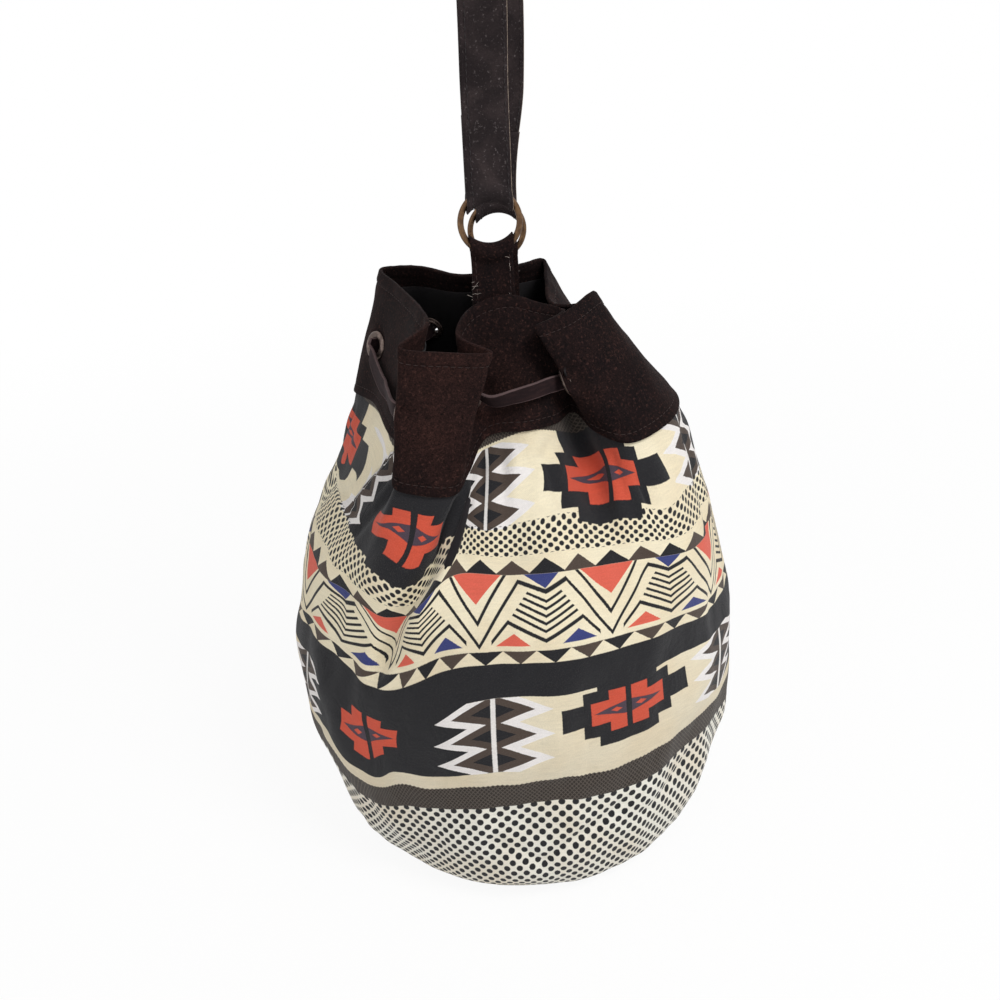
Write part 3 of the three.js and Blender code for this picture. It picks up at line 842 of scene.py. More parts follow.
def lining_cotton():
    """Dark plain cotton with a close weave."""
    tones = new_tones("lining_cloth")
    where = tones.place()
    folds = tones.noise(where, 24, 3.0)
    weave = tones.noise(where, 0.7, 2.0)
    # Lighter on the raised folds that the same noise bumps up: painted light and shade on the folds.
    tone = tones.pick(srgb(20, 17, 19), srgb(38, 34, 37), folds.between(0.35, 0.8) * 0.6 + weave * 0.25)
    normal = tones.bump(weave * 0.4 + folds, 0.6, 0.4)
    return tones.surface(Base_Color=tone, Roughness=0.88, Normal=normal, Sheen_Weight=0.1,
                         Specular_IOR_Level=0.2)


def aged_metal(name, dark, bright, wear_and_highlight, rough):
    """Cast or rolled metal with a brown patina, lighter in patches, and lighter on its high places both where
    it is rubbed bright and as a painted highlight.
    """
    tones = new_tones(name)
    where = tones.place()
    patina = tones.noise(where, 3.5, 4.0, distortion=0.4)
    fine = tones.noise(where, 0.7, 3.0)
    rubbed_and_highlit = tones.node("ShaderNodeNewGeometry").outputs["Pointiness"]
    high = Field(tones, rubbed_and_highlit).between(0.49, 0.56)
    # Lighter on the high places: partly rubbed wear, partly a painted highlight where the edges catch the
    # light.
    tone = tones.pick(dark, bright, (patina.between(0.42, 0.68) * 0.7 + high * 0.5) * wear_and_highlight)
    gloss = patina * 0.25 + fine * 0.12 + (rough - 0.16)
    normal = tones.bump(patina * 0.5 + fine * 0.3, 0.12, 0.5)
    return tones.surface(Base_Color=tone, Metallic=0.85, Roughness=gloss, Normal=normal)


def pressed_board():
    """Brown fibreboard."""
    tones = new_tones("base_board")
    chips = tones.noise(tones.place(), 2.4, 4.0)
    tone = tones.pick(srgb(118, 98, 74), srgb(158, 138, 110), chips)
    return tones.surface(Base_Color=tone, Roughness=0.85, Normal=tones.bump(chips, 0.25, 0.5))


# Where spots of the photographed print lie on the bag, in millimetres: a height in the flat print,
# then (across in the print, round the bag, up the bag) for each spot at that height
PRINT_PINS = (
    (20, ((-400, -400, 20), (0, 0, 20), (400, 400, 20))),
    (25, ((-60, -60, 25), (60, 60, 25))),
    (30, ((-250, -250, 30), (110, 110, 30), (250, 250, 30))),
    (36, ((-112, -110, 30),)),
    (85, ((-138, -140, 58), (-124, -125, 62), (-100, -100, 72), (-75, -75, 77), (-50, -50, 82), (0, 0, 87),
        (50, 50, 84), (100, 100, 88))),
    (100, ((190, 190, 100),)),
    (102, ((-124, -125, 77), (-75, -75, 91), (-25, -25, 100), (20, 20, 100), (60, 60, 103),
        (100, 100, 104))),
    (110, ((-147, -150, 100), (-122, -125, 89), (-98, -100, 97))),
    (111, ((-33, -33, 111),)),
    (126, ((-118, -117, 96),)),
    (136, ((-236, -230, 120),)),
    (139, ((-140.5, -137, 118), (-115, -115, 119), (-89.5, -94.5, 121), (4, 6, 139), (49, 48, 139),
        (94, 94, 140))),
    (140, ((-400, -400, 140), (-300, -300, 140), (300, 300, 140), (400, 400, 140))),
    (142, ((232, 230, 140),)),
    (152, ((-122, -125, 133),)),
    (156, ((-33, -33, 156),)),
    (175.5, ((-210, -200, 158), (-166, -150, 160), (-128, -115, 151), (-103, -92, 154), (-80, -75, 163),
        (-50, -50, 174), (0, 0, 175.5), (51, 50, 175), (73, 75, 174), (97, 100, 171))),
    (186.5, ((-205, -190, 172), (-123, -97, 168), (-41, -40, 187), (41, 41, 186.5), (123, 142, 173))),
    (188, ((0.5, -0.5, 188),)),
    (198, ((41.5, 43, 198),)),
    (208, ((-86, -79, 196), (41.5, 46, 208), (190, 200, 200))),
    (212, ((82.5, 91, 206),)),
    (214, ((-245, -240, 200),)),
    (217, ((-164, -137, 198), (0.5, 3, 217))),
    (226, ((-6, -7, 226.5), (35, 38, 225), (55, 62, 222.5), (76, 90, 217))),
    (233, ((-231, -226, 214),)),
    (237, ((-196, -190, 216),)),
    (238, ((-167, -163, 212),)),
    (238.6, ((-190, -185, 222), (-153, -150, 214), (-141, -135, 208.6), (-130, -125, 209),
        (-103, -90, 205), (-80, -78, 226), (-18, -19, 238.5), (19, 20, 238), (44, 49, 235.5),
        (66, 77, 231), (90, 105, 224.7))),
    (252.5, ((-254, -250, 238),)),
    (254, ((-189, -181, 240),)),
    (254.2, ((-210, -205, 243), (-147, -150, 231), (-113, -107, 222), (-98, -90, 222), (-76, -76, 247),
        (-32, -34, 252), (-9.5, -10, 254), (7.5, 8, 254), (42, 49, 250), (64, 79, 245.5), (88, 109, 238))),
    (259, ((-272, -272, 254.1), (-127.8, -117, 234.4), (-116.9, -107.9, 230.5), (-113.1, -101.9, 229.1),
        (-102.2, -92.5, 230.1), (36.2, 46.9, 262), (50.9, 65.3, 257.2), (61.8, 81.3, 253.8))),
    (262, ((246, 250, 250),)),
    (264.8, ((4, 12.1, 272.1), (94, 121.3, 255.6))),
    (265, ((-140.5, -143.6, 244.3), (-89.5, -83.3, 242.2), (23.5, 30.8, 270), (74.5, 94.2, 259.7))),
    (272, ((-279, -287.5, 263.4), (-234, -216.1, 273.5), (-195.5, -188, 262), (131, 160, 262))),
    (279, ((-140.5, -153.8, 257.3), (-89.5, -88.9, 255.3), (23.5, 35.7, 285.1), (74.5, 94, 273.1))),
    (279.2, ((4, 14.4, 287.5), (94, 117.5, 272.2))),
    (280, ((-400, -400, 280), (400, 400, 280))),
    (285, ((-127.8, -122.8, 262.5), (-116.9, -112.1, 261.9), (-113.1, -107, 260.9), (-102.2, -94.7, 260.8),
        (36.2, 42.3, 292), (47.1, 62.7, 287.4), (61.8, 83.5, 283.4))),
    (296, ((-195, -180, 286),)),
    (299, ((-268, -271, 289), (-33, -32, 298))),
    (300, ((-178, -170, 292),)),
    (300.5, ((-224, -226, 299),)),
    (302, ((-108, -101, 270),)),
    (303, ((-122, -119, 272), (30, 31, 306))),
    (303.5, ((-19, -19, 305),)),
)

# A narrow fold by the left panel, as (up, round), and how much of the cloth it hides
HIDDEN_FOLD = ((236, -176), (244, -184), (255, -191), (268, -188), (282, -184), (292, -178))
HIDDEN_CLOTH = 24.0


def hidden_cloth(around, up):
    """How much of the print the narrow fold has taken in, left of its line."""
    fold_start, fold_full = 241, 254
    ups, rounds = np.array(HIDDEN_FOLD, float).T
    left = smoothstep(np.interp(up, ups, rounds) - around, -0.4, 0.4)
    return left * HIDDEN_CLOTH * smoothstep(up, fold_start, fold_full)


def print_places(around, up):
    """Where each point of the cloth lies in the flat print: a thin-plate fit through PRINT_PINS."""
    slack = 120
    batch = 4000
    unfold_from, unfold_to = 300, 395
    pins = np.array([(around, up) for _, spots in PRINT_PINS for _, around, up in spots], float)
    flat = np.array([(across, height) for height, spots in PRINT_PINS for across, _, _ in spots], float)
    shift = flat - pins
    shift[:, 0] += hidden_cloth(pins[:, 0], pins[:, 1]) * (pins[:, 0] > -unfold_to)

    def kernel(square):
        return np.where(square > 0, square * np.log(np.maximum(square, 1e-9)), 0)

    count = len(pins)
    square = ((pins[:, None] - pins[None]) ** 2).sum(2)
    system = np.zeros((count + 3, count + 3))
    system[:count, :count] = kernel(square) + np.eye(count) * slack
    system[:count, count:] = np.column_stack([np.ones(count), pins])
    system[count:, :count] = system[:count, count:].T
    weights = np.linalg.solve(system, np.vstack([shift, np.zeros((3, 2))]))
    places = np.stack([around.ravel(), up.ravel()], 1)
    moved = np.empty_like(places)
    for part in range(0, len(places), batch):
        some = places[part:part + batch]
        square = ((some[:, None] - pins[None]) ** 2).sum(2)
        moved[part:part + batch] = (some + kernel(square) @ weights[:count]
                                    + np.column_stack([np.ones(len(some)), some]) @ weights[count:])
    unfold = 1 - smoothstep(-places[:, 0], unfold_from, unfold_to)
    moved[:, 0] -= hidden_cloth(places[:, 0], places[:, 1]) * unfold
    return moved.reshape(*around.shape, 2)


# Creases of the canvas: a path of (round, up), its depth, its width and how far its ends fade
CREASES = (
    (((-74, 280), (-79, 250), (-83, 225), (-91, 202), (-99, 182), (-107, 163), (-114, 146)), 9.0, 6.5, 30),
    (((-62, 280), (-66, 250), (-70, 225), (-77, 205), (-84, 186), (-92, 168)), -6.5, 9.0, 30),
    (((34, 304), (18, 293), (-4, 281)), 2.6, 5.0, 12),
    (((22, 300), (20, 280), (24, 262), (23, 254)), 1.8, 4.0, 12),
    (((92, 262), (96, 248), (94, 240)), 2.2, 4.5, 8),
    (((-8, 45), (12, 58), (34, 68), (54, 79)), 2.2, 3.2, 14),
    (((20, 132), (22, 118), (21, 102), (26, 92)), 1.8, 5.0, 12),
    (((3, 128), (4, 112), (-3, 98)), -1.6, 6.0, 12),
    (((-40, 60), (-20, 50), (5, 30)), 1.6, 4.5, 12),
    (((60, 60), (85, 70), (110, 84)), 1.8, 4.0, 12),
    (((-165, 150), (-150, 120), (-138, 95), (-132, 70)), -3.0, 12.0, 20),
    (((-150, 285), (-158, 250), (-172, 225)), 3.0, 6.0, 20),
    (((130, 290), (126, 262), (134, 236)), 2.6, 5.5, 18),
    (((165, 290), (158, 255), (160, 225), (150, 200)), 3.2, 6.0, 20),
    (((230, 290), (236, 250), (226, 210)), 3.2, 7.0, 20),
    (((300, 290), (292, 255), (300, 225)), 2.6, 6.0, 20),
    (((370, 295), (376, 250), (366, 205)), 3.4, 7.0, 20),
    (((-300, 290), (-294, 250), (-304, 215)), 3.0, 6.0, 20),
    (((-390, 295), (-384, 255), (-394, 205)), 3.4, 7.0, 20),
    (((210, 70), (250, 60), (300, 72)), 2.2, 5.0, 20),
    (((-210, 60), (-260, 75), (-320, 62)), 2.2, 5.0, 20),
    (((453.6, 320), (453.6, 150), (453.6, 8)), 1.3, 1.5, 4),
    (((-453.6, 320), (-453.6, 150), (-453.6, 8)), 1.3, 1.5, 4),
)


def crease_depth(around, up):
    """How far the canvas is pushed in at each point, in millimetres."""
    depth = np.zeros(around.shape)
    for path, deep, wide, fade in CREASES:
        line = through(path, 8)
        along = line_lengths(line)
        near = np.full(around.shape, 1e9)
        place = np.zeros(around.shape)
        for (ax, ay), (bx, by), start, end in zip(line, line[1:], along, along[1:]):
            span = (bx - ax) ** 2 + (by - ay) ** 2
            share = np.clip(((around - ax) * (bx - ax) + (up - ay) * (by - ay)) / span, 0, 1)
            gap = (around - ax - share * (bx - ax)) ** 2 + (up - ay - share * (by - ay)) ** 2
            closer = gap < near
            near = np.where(closer, gap, near)
            place = np.where(closer, start + share * (end - start), place)
        ends = smoothstep(along[-1] - place, 0, fade)
        depth += deep * np.exp(-near / wide ** 2) * ends
    return depth


def canvas_faces():
    """Outer and inner rows of the canvas with its creases, and each point's place in the flat print."""
    band_levels = np.linspace(1 - SEAM_OVERLAP / BAND_HEIGHT, 1, 5)
    body_levels = np.concatenate([np.linspace(1, 0.06, 112)[1:], [0.045, 0.03, 0.016, 0.006, 0]])
    face = np.concatenate([band_rows(band_levels), body_rows(body_levels)])
    normals = row_normals(face)
    _, _, turn = gather_rings(FINE)
    turn = np.where(turn > math.pi, turn - 2 * math.pi, turn)
    around = np.broadcast_to(turn / (2 * math.pi) * CLOTH_ROUND, face.shape[:2])
    steps = np.linalg.norm(np.diff(face, axis=0), axis=2)
    up = np.zeros(face.shape[:2])
    up[:-1] = np.cumsum(steps[::-1], axis=0)[::-1]

    free = smoothstep(up, 4, 30) * smoothstep(np.arange(len(face)), 4, 12)[:, None]
    depth = crease_depth(around, up)
    gathers = np.abs(np.sin(around / 11.0 + waves(around, np.zeros_like(up), 90, 3) * 1.4))
    depth += (1 - gathers) * 2.4 * smoothstep(up, 225, 290)
    depth += waves(around, up, 62, 5) * 1.5 + waves(around, up * 0.6, 22, 8) * 0.5
    depth += waves(around, up, 34, 11) * 0.7 * smoothstep(110 - up, 0, 60)
    outer = face - normals * (CANVAS_INSET + depth * free)[..., None]
    outer[..., 2] = np.maximum(outer[..., 2], 0.3)
    settled = row_normals(outer)
    inner = outer - settled * CANVAS
    inner[-4:, :, 2] = np.maximum(inner[-4:, :, 2], 0.4)
    return outer, inner, print_places(around, up)


def flatten_at_eyelets(points, level):
    """Presses wall points near each eyelet flat, at a level from the middle of the wall."""
    points = points.copy()
    for centre, outward in EYELETS:
        offset = points - centre
        height = offset @ outward
        flat = offset - height[..., None] * outward
        away = np.linalg.norm(flat, axis=-1)
        share = smoothstep(-away, -15, -9.4) * (np.abs(height) < 9)
        points += outward * (share * (level - height))[..., None]
    return points


def build_canvas(colours):
    """The printed canvas wall. Its UV map gives each point's place in the flat print."""
    outer, inner, places = canvas_faces()
    piece = shell("canvas_cloth", outer, inner)
    rows = len(places)
    order = [*range(rows), rows - 1, rows - 1, *reversed(range(rows)), 0, 0]
    uv = at_corners(piece, places[order].reshape(-1, 2)).reshape(-1, 4, 2)
    # Faces that cross the seam at the back are kept on one side of it
    wide = np.ptp(uv[..., 0], axis=1) > CLOTH_ROUND / 2
    crossing = uv[wide]
    crossing[..., 0] += np.where(crossing[..., 0] < 0, CLOTH_ROUND, 0)
    uv[wide] = crossing
    set_uv(piece, uv)
    finish(piece, "bag", "printed_canvas", "canvas_body", material=printed_canvas(colours))


def build_base():
    """The round canvas bottom with its turned and sewn edge, slightly slack in the middle."""
    _, _, turn = gather_rings(4)
    upper, lower = [], []
    for radius, top, bottom in ((1, 1.5, 0.4), (30, 1.5, 0.4), (60, 1.3, 0.25), (90, 1.1, 0.1),
                                (104, 1.0, 0.0), (109, 0.95, 0.0), (111.2, 0.7, 0.1)):
        ring = base_point(round_points(turn, radius, 0.0))
        upper.append(ring + np.array([0, 0, top]))
        lower.append(ring + np.array([0, 0, bottom]))
    grid = np.array(upper + lower[::-1])
    points = grid.reshape(-1, 3)
    piece = closed_piece("base_canvas", points, capped_faces(len(grid), grid.shape[1]))
    # The base shows the large dots, drawn out from front to back
    set_uv(piece, at_corners(piece, points[:, :2] * np.array([1, 0.28]) + np.array([0, 42])))
    finish(piece, "bag", "printed_canvas", "base_panel", material=MADE["printed_canvas"])
    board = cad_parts["base_board"]
    board.data.materials.clear()
    board.data.materials.append(pressed_board())


def build_lining(canvas_inside, hole):
    """The dark cotton lining: against the band above, just inside the canvas below, and over the board."""
    levels = np.linspace(LINING_DROP / BAND_HEIGHT, 1 - SEAM_OVERLAP / BAND_HEIGHT - 0.02, 12)
    rows = band_rows(levels)
    top = rows - row_normals(rows) * (CANVAS_INSET + 0.1)
    walls = canvas_inside[1:-14:3]
    walls = walls - row_normals(walls) * 0.45
    _, _, turn = gather_rings(FINE)
    around = np.broadcast_to(turn * 140, walls.shape[:2])
    sag = np.abs(waves(around, walls[..., 2], 45, 31)) * 2.4 * smoothstep(-walls[..., 2], -250, -190)
    walls = walls - row_normals(walls) * (sag * smoothstep(walls[..., 2], 12, 40))[..., None]
    outer = flatten_at_eyelets(np.concatenate([top, walls]), -0.72)
    floor = [base_point(round_points(turn, radius, height)) for radius, height in
             ((116, 12), (111, LINING_BOTTOM + 1.2), (104, LINING_BOTTOM + 0.2), (60, LINING_BOTTOM + 0.3),
              (12, LINING_BOTTOM + 0.4))]
    outer = np.concatenate([outer, floor])
    inner = outer - row_normals(outer) * LINING * 0.8
    piece = shell("lining_cloth", outer, inner)
    cut_holes(piece, hole / 2 + HOLE_ROOM)
    finish(piece, "bag", "lining_cloth", "lining", material=lining_cotton())


def cut_holes(piece, radius):
    """Cuts the eyelets' holes through a wall."""
    cutters = []
    for centre, outward in EYELETS:
        bpy.ops.object.select_all(action="DESELECT")
        bpy.ops.mesh.primitive_cylinder_add(vertices=24, radius=radius / 1000, depth=0.014)
        cutter = bpy.context.view_layer.objects.active
        turn = Vector(outward).to_track_quat("Z", "Y").to_matrix().to_4x4()
        cutter.data.transform(Matrix.Translation(Vector(metres(centre))) @ turn)
        cutters.append(cutter)
    cutter = join(cutters, "hole_cutter")
    select_only(piece)
    cut = piece.modifiers.new("holes", "BOOLEAN")
    cut.operation, cut.solver, cut.object = "DIFFERENCE", "MANIFOLD", cutter
    bpy.ops.object.modifier_apply(modifier=cut.name)
    bpy.data.objects.remove(cutter, do_unlink=True)


# How far the band's two seams lie from its edges
RIM_STITCH = 6.2
HEM_STITCH = 4.6


def build_band(colours, hole):
    """The gathered suede band: a rim turned over and sewn, and a lower edge sewn to the canvas."""
    rim_levels = [0, 0.006, 0.018, 0.034, 0.05, 0.066, 0.078, RIM_STITCH / BAND_HEIGHT, 0.094, 0.11, 0.135]
    hem_levels = [0.918, 0.93, 1 - HEM_STITCH / BAND_HEIGHT, 0.943, 0.956, 0.975, 1]
    levels = np.sort(np.concatenate([rim_levels, np.linspace(0.165, 0.9, 26), hem_levels]))
    rows = band_rows(levels)
    normals = row_normals(rows)
    _, _, turn = gather_rings(FINE)
    around = np.broadcast_to(turn * 110, rows.shape[:2])
    down = np.broadcast_to((levels * BAND_HEIGHT)[:, None], rows.shape[:2])
    turned_edge = smoothstep(-down, -RIM_STITCH - 1.2, -RIM_STITCH + 1.2)
    puff = turned_edge * 0.75 * (0.75 + 0.25 * waves(around, down, 14, 41))
    groove = 0.45 * np.exp(-((down - RIM_STITCH) / 0.9) ** 2)
    low = 0.5 * np.exp(-((down - BAND_HEIGHT + HEM_STITCH) / 1.0) ** 2)
    uneven = waves(around, down, 38, 43) * 0.55 + waves(around, down, 12, 47) * 0.16
    free = smoothstep(down, 1, 12) * smoothstep(BAND_HEIGHT - down, 0, 10)
    outer = rows + normals * (puff - groove - low + uneven * free)[..., None]
    inner = rows - normals * (SUEDE + turned_edge * 0.3 - groove * 0.5)[..., None]
    outer = flatten_at_eyelets(outer, BAND_WALL / 2)
    inner = flatten_at_eyelets(inner, BAND_WALL / 2 - SUEDE)
    piece = shell("suede_band_skin", outer, inner)
    cut_holes(piece, hole / 2 + HOLE_ROOM)
    # The spot at (-36, -92, 300) with a reach of 62 mm is a painted highlight on the band's left front fold.
    leather = suede("band_suede", colours.suede, colours.suede_light, 0.55, (-36, -92, 300), 62)
    finish(piece, "bag", "band_suede", "suede_band", material=leather)
    settled = row_normals(outer)
    sewn = []
    for seam_down in (RIM_STITCH, BAND_HEIGHT - HEM_STITCH):
        row = int(np.argmin(abs(levels * BAND_HEIGHT - seam_down)))
        sewn += stitches(outer[row], settled[row], 3.9, 3.0, 0.34, 0.12)
    seam = threads("band_stitching", sewn, 0.26)
    finish(seam, "bag", "band_suede", material=thread("band_thread", srgb(46, 33, 31)))


def build_eyelets(sizes):
    """Rolled metal eyelets with a domed flange outside and a clenched lip with its washer inside."""
    seat = BAND_WALL / 2
    bore = millimetres(sizes.eyelet_hole) / 2
    flange = millimetres(sizes.eyelet_flange) / 2
    barrel = bore + EYELET_BARREL
    washer_edge = 7.95
    # Outlines as (radius, height above the middle of the wall)
    dome = [(barrel, -seat - 1.2), (barrel, seat + 0.05), (flange - 0.25, seat + 0.05), (flange, seat + 0.3),
            (flange - 0.1, seat + 0.75), (flange - 0.7, seat + 1.25), (flange - 1.6, seat + 1.65),
            (flange - 2.4, seat + 1.7), (bore + 0.5, seat + 1.35), (bore + 0.1, seat + 0.8),
            (bore, seat + 0.1), (bore, -seat - 1.6), (bore + 0.2, -seat - 2.2), (bore + 0.9, -seat - 2.5),
            (bore + 1.7, -seat - 2.3), (bore + 1.9, -seat - 1.8), (bore + 1.2, -seat - 1.5),
            (barrel, -seat - 1.3)]
    washer = [(barrel + 0.15, -seat - 1.15), (washer_edge - 0.2, -seat - 1.1), (washer_edge, -seat - 0.75),
              (washer_edge - 0.2, -seat - 0.35), (barrel + 0.15, -seat - 0.3)]
    # The pale tone is partly a painted highlight on the eyelets' raised rims.
    metal = aged_metal("eyelet_metal", srgb(66, 56, 52), srgb(150, 132, 124), 0.75, 0.5)
    for number, (centre, outward) in enumerate(EYELETS, 1):
        for name, outline, node in (("eyelet_ring_%d", dome, "eyelet_%d"),
                                    ("eyelet_back_%d", washer, "eyelet_washer_%d")):
            piece = turned_piece(name % number, outline, centre, outward)
            finish(piece, "bag", "eyelet_metal", node % number, material=metal)


def turned_piece(name, outline, centre, outward, sides=48):
    """A closed ring of revolution about a place's outward normal."""
    side = unit(np.cross((0, 0, 1), outward))
    up = np.cross(outward, side)
    angles = np.arange(sides) * 2 * math.pi / sides
    spokes = np.cos(angles)[:, None] * side + np.sin(angles)[:, None] * up
    grid = np.array([centre + spokes * radius + outward * height for radius, height in outline])
    return closed_piece(name, grid.reshape(-1, 3), grid_faces(len(grid), sides, close_rows=True))


def build_rings():
    """The two round brass wire rings."""
    brass = aged_metal("ring_brass", srgb(74, 54, 42), srgb(150, 118, 84), 0.6, 0.42)
    for name, node, body, (x, y, z) in (("front_wire_ring", "front_ring", "front_link", FRONT_RING),
                                        ("back_wire_ring", "back_ring", "back_link", BACK_RING)):
        bpy.ops.object.select_all(action="DESELECT")
        bpy.ops.mesh.primitive_torus_add(
            major_segments=96, minor_segments=20, major_radius=RING_RADIUS / 1000,
            minor_radius=WIRE_RADIUS / 1000, rotation=(math.pi / 2, 0, 0))
        piece = bpy.context.view_layer.objects.active
        piece.name = piece.data.name = name
        bpy.ops.object.transform_apply(location=False, rotation=True, scale=True)
        piece.data.transform(Matrix.Translation(Vector(metres((x, y, z)))))
        piece.data.shade_smooth()
        finish(piece, body, "ring_brass", node, material=brass)


def wire_rise(distance):
    """How far a ring's wire rises at a distance to the side of its lowest point."""
    return RING_RADIUS - np.sqrt(RING_RADIUS ** 2 - np.minimum(np.abs(distance), RING_RADIUS - 0.5) ** 2)


def turned_end(width, thickness, steps=28):
    """A strip's turn round a wire, as [depth, height] points from the wire's middle."""
    room = wire_rise(width / 2) / 2 * math.sin(RING_SWING) + CLEARANCE + SWING_SLACK
    radius = WIRE_RADIUS + room + thickness / 2
    leg = (thickness + CLEARANCE) / 2
    start = math.radians(-50)
    neck = radius * math.sin(start) - (radius * math.cos(start) - leg) / math.tan(-start)
    angles = math.pi - start - (math.pi - 2 * start) * np.arange(steps + 1) / steps
    return leg, neck, np.stack([radius * np.cos(angles), radius * np.sin(angles)], 1)


def bent_strip(name, path, width, thickness, slices, place, soften=0.35, raw=(-1, 1)):
    """A strip bent along a (depth, height) path: a closed slab with rounded edges.

    The attribute named edge is 1 on the cut edges at the sides in raw.
    """
    path = np.asarray(path, float)
    tangent = unit(np.gradient(path, axis=0))
    normal = np.stack([tangent[:, 1], -tangent[:, 0]], 1)
    ring = []
    for side in (0.5, -0.5):
        across = np.linspace(-side, side, slices + 1)
        ring += [(a * (width - 2 * soften * (abs(a) == 0.5)), side) for a in across]
        ring += [(width * side, side * 0.44), (width * side, -side * 0.44)]
    sections = []
    for offset, side in ring:
        spot = path + normal * side * thickness
        sections.append(place(offset, spot[:, 0], spot[:, 1]))
    grid = np.array(sections).transpose(1, 0, 2)
    piece = closed_piece(name, grid.reshape(-1, 3), capped_faces(len(grid), len(ring)))
    edge = [1.0 if abs(side) < 0.3 and np.sign(offset) in raw else 0.0 for offset, side in ring]
    set_value(piece, "edge", np.tile(edge, len(grid)))
    return piece


def resample(points, step):
    """Points at an even step along a polyline, ends kept."""
    points = np.asarray(points, float)
    along = line_lengths(points)
    count = max(int(round(along[-1] / step)), 2)
    places = np.linspace(0, along[-1], count + 1)
    return np.stack([np.interp(places, along, points[:, a]) for a in range(points.shape[1])], 1)


def build_tab(name, node, ring, front):
    """A suede loop over the ring: both legs sewn inside the band, its fold saddled by the ring.

    The stitched side faces forwards where front is -1 and backwards where it is 1.
    """
    seed = (front + 1) // 2
    x, y, z = ring
    leg, neck, arc = turned_end(TAB_WIDTH, TAB)
    wire = z - RING_RADIUS
    heights = np.linspace(RIM_HEIGHT - TAB_SEWN, wire + neck, 26)
    path = ([(y - leg, h) for h in heights] + [(y + d, wire + r) for d, r in arc]
            + [(y + leg, h) for h in heights[::-1]])

    def place(across, depth, height):
        follow = smoothstep(height, RIM_HEIGHT, wire + neck)
        waist = 1 - 0.05 * smoothstep(-np.abs(height - RIM_HEIGHT - 16), -14, 0)
        wobble = waves(height, np.full_like(height, across), 22, 61 + seed) * 0.25
        loose = smoothstep(height, RIM_HEIGHT - 6, RIM_HEIGHT + 6)
        return np.stack([x + across * waist, depth + wobble * loose * 0.6,
                         height + wire_rise(across) * follow], 1)

    piece = bent_strip(name, path, TAB_WIDTH, TAB, 16, place)
    finish(piece, "bag", "band_suede", node, material=MADE["band_suede"])

    count = 40
    heights = np.linspace(RIM_HEIGHT - 20, wire - 3.5, count)
    face = y + front * (leg + TAB / 2 + 0.02)
    normals = np.tile([0.0, front, 0.0], (count, 1))
    follow = smoothstep(heights, RIM_HEIGHT, wire + neck)
    sewn = []
    for inset in (-TAB_WIDTH / 2 + 2.6, TAB_WIDTH / 2 - 2.6):
        line = np.stack([np.full(count, x + inset), np.full(count, face),
                         heights + wire_rise(inset) * follow], 1)
        sewn += stitches(line, normals, 3.4, 2.7, 0.3, 0.1, closed=False)
    finish(threads(name + "_stitching", sewn, 0.24), "bag", "band_suede", material=MADE["band_thread"])

    rng = np.random.default_rng(70 + seed)
    spots = [(-TAB_WIDTH / 2 - 0.2, RIM_HEIGHT + h) for h in (2, 4, 5.5, 8, 10, 12)]
    spots += [(TAB_WIDTH / 2 - 2.4, RIM_HEIGHT + h) for h in (1.5, 3, 22, 24)]
    strays = []
    for side, height in spots:
        direction = rng.normal(0, 1, 3) * (1, 1, 0.8)
        direction[1] = front * abs(direction[1]) * 0.6
        direction = unit(direction)
        start = np.array([x + side, face, height])
        curl = rng.normal(0, 1, 3) * 1.1
        strays.append([start + direction * t * rng.uniform(2.4, 4.6) + curl * t * t
                       for t in np.linspace(0, 1, 6)])
    loose = threads(name + "_loose_threads", strays, 0.11, 4)
    finish(loose, "bag", "band_suede", material=MADE["loose_thread"])


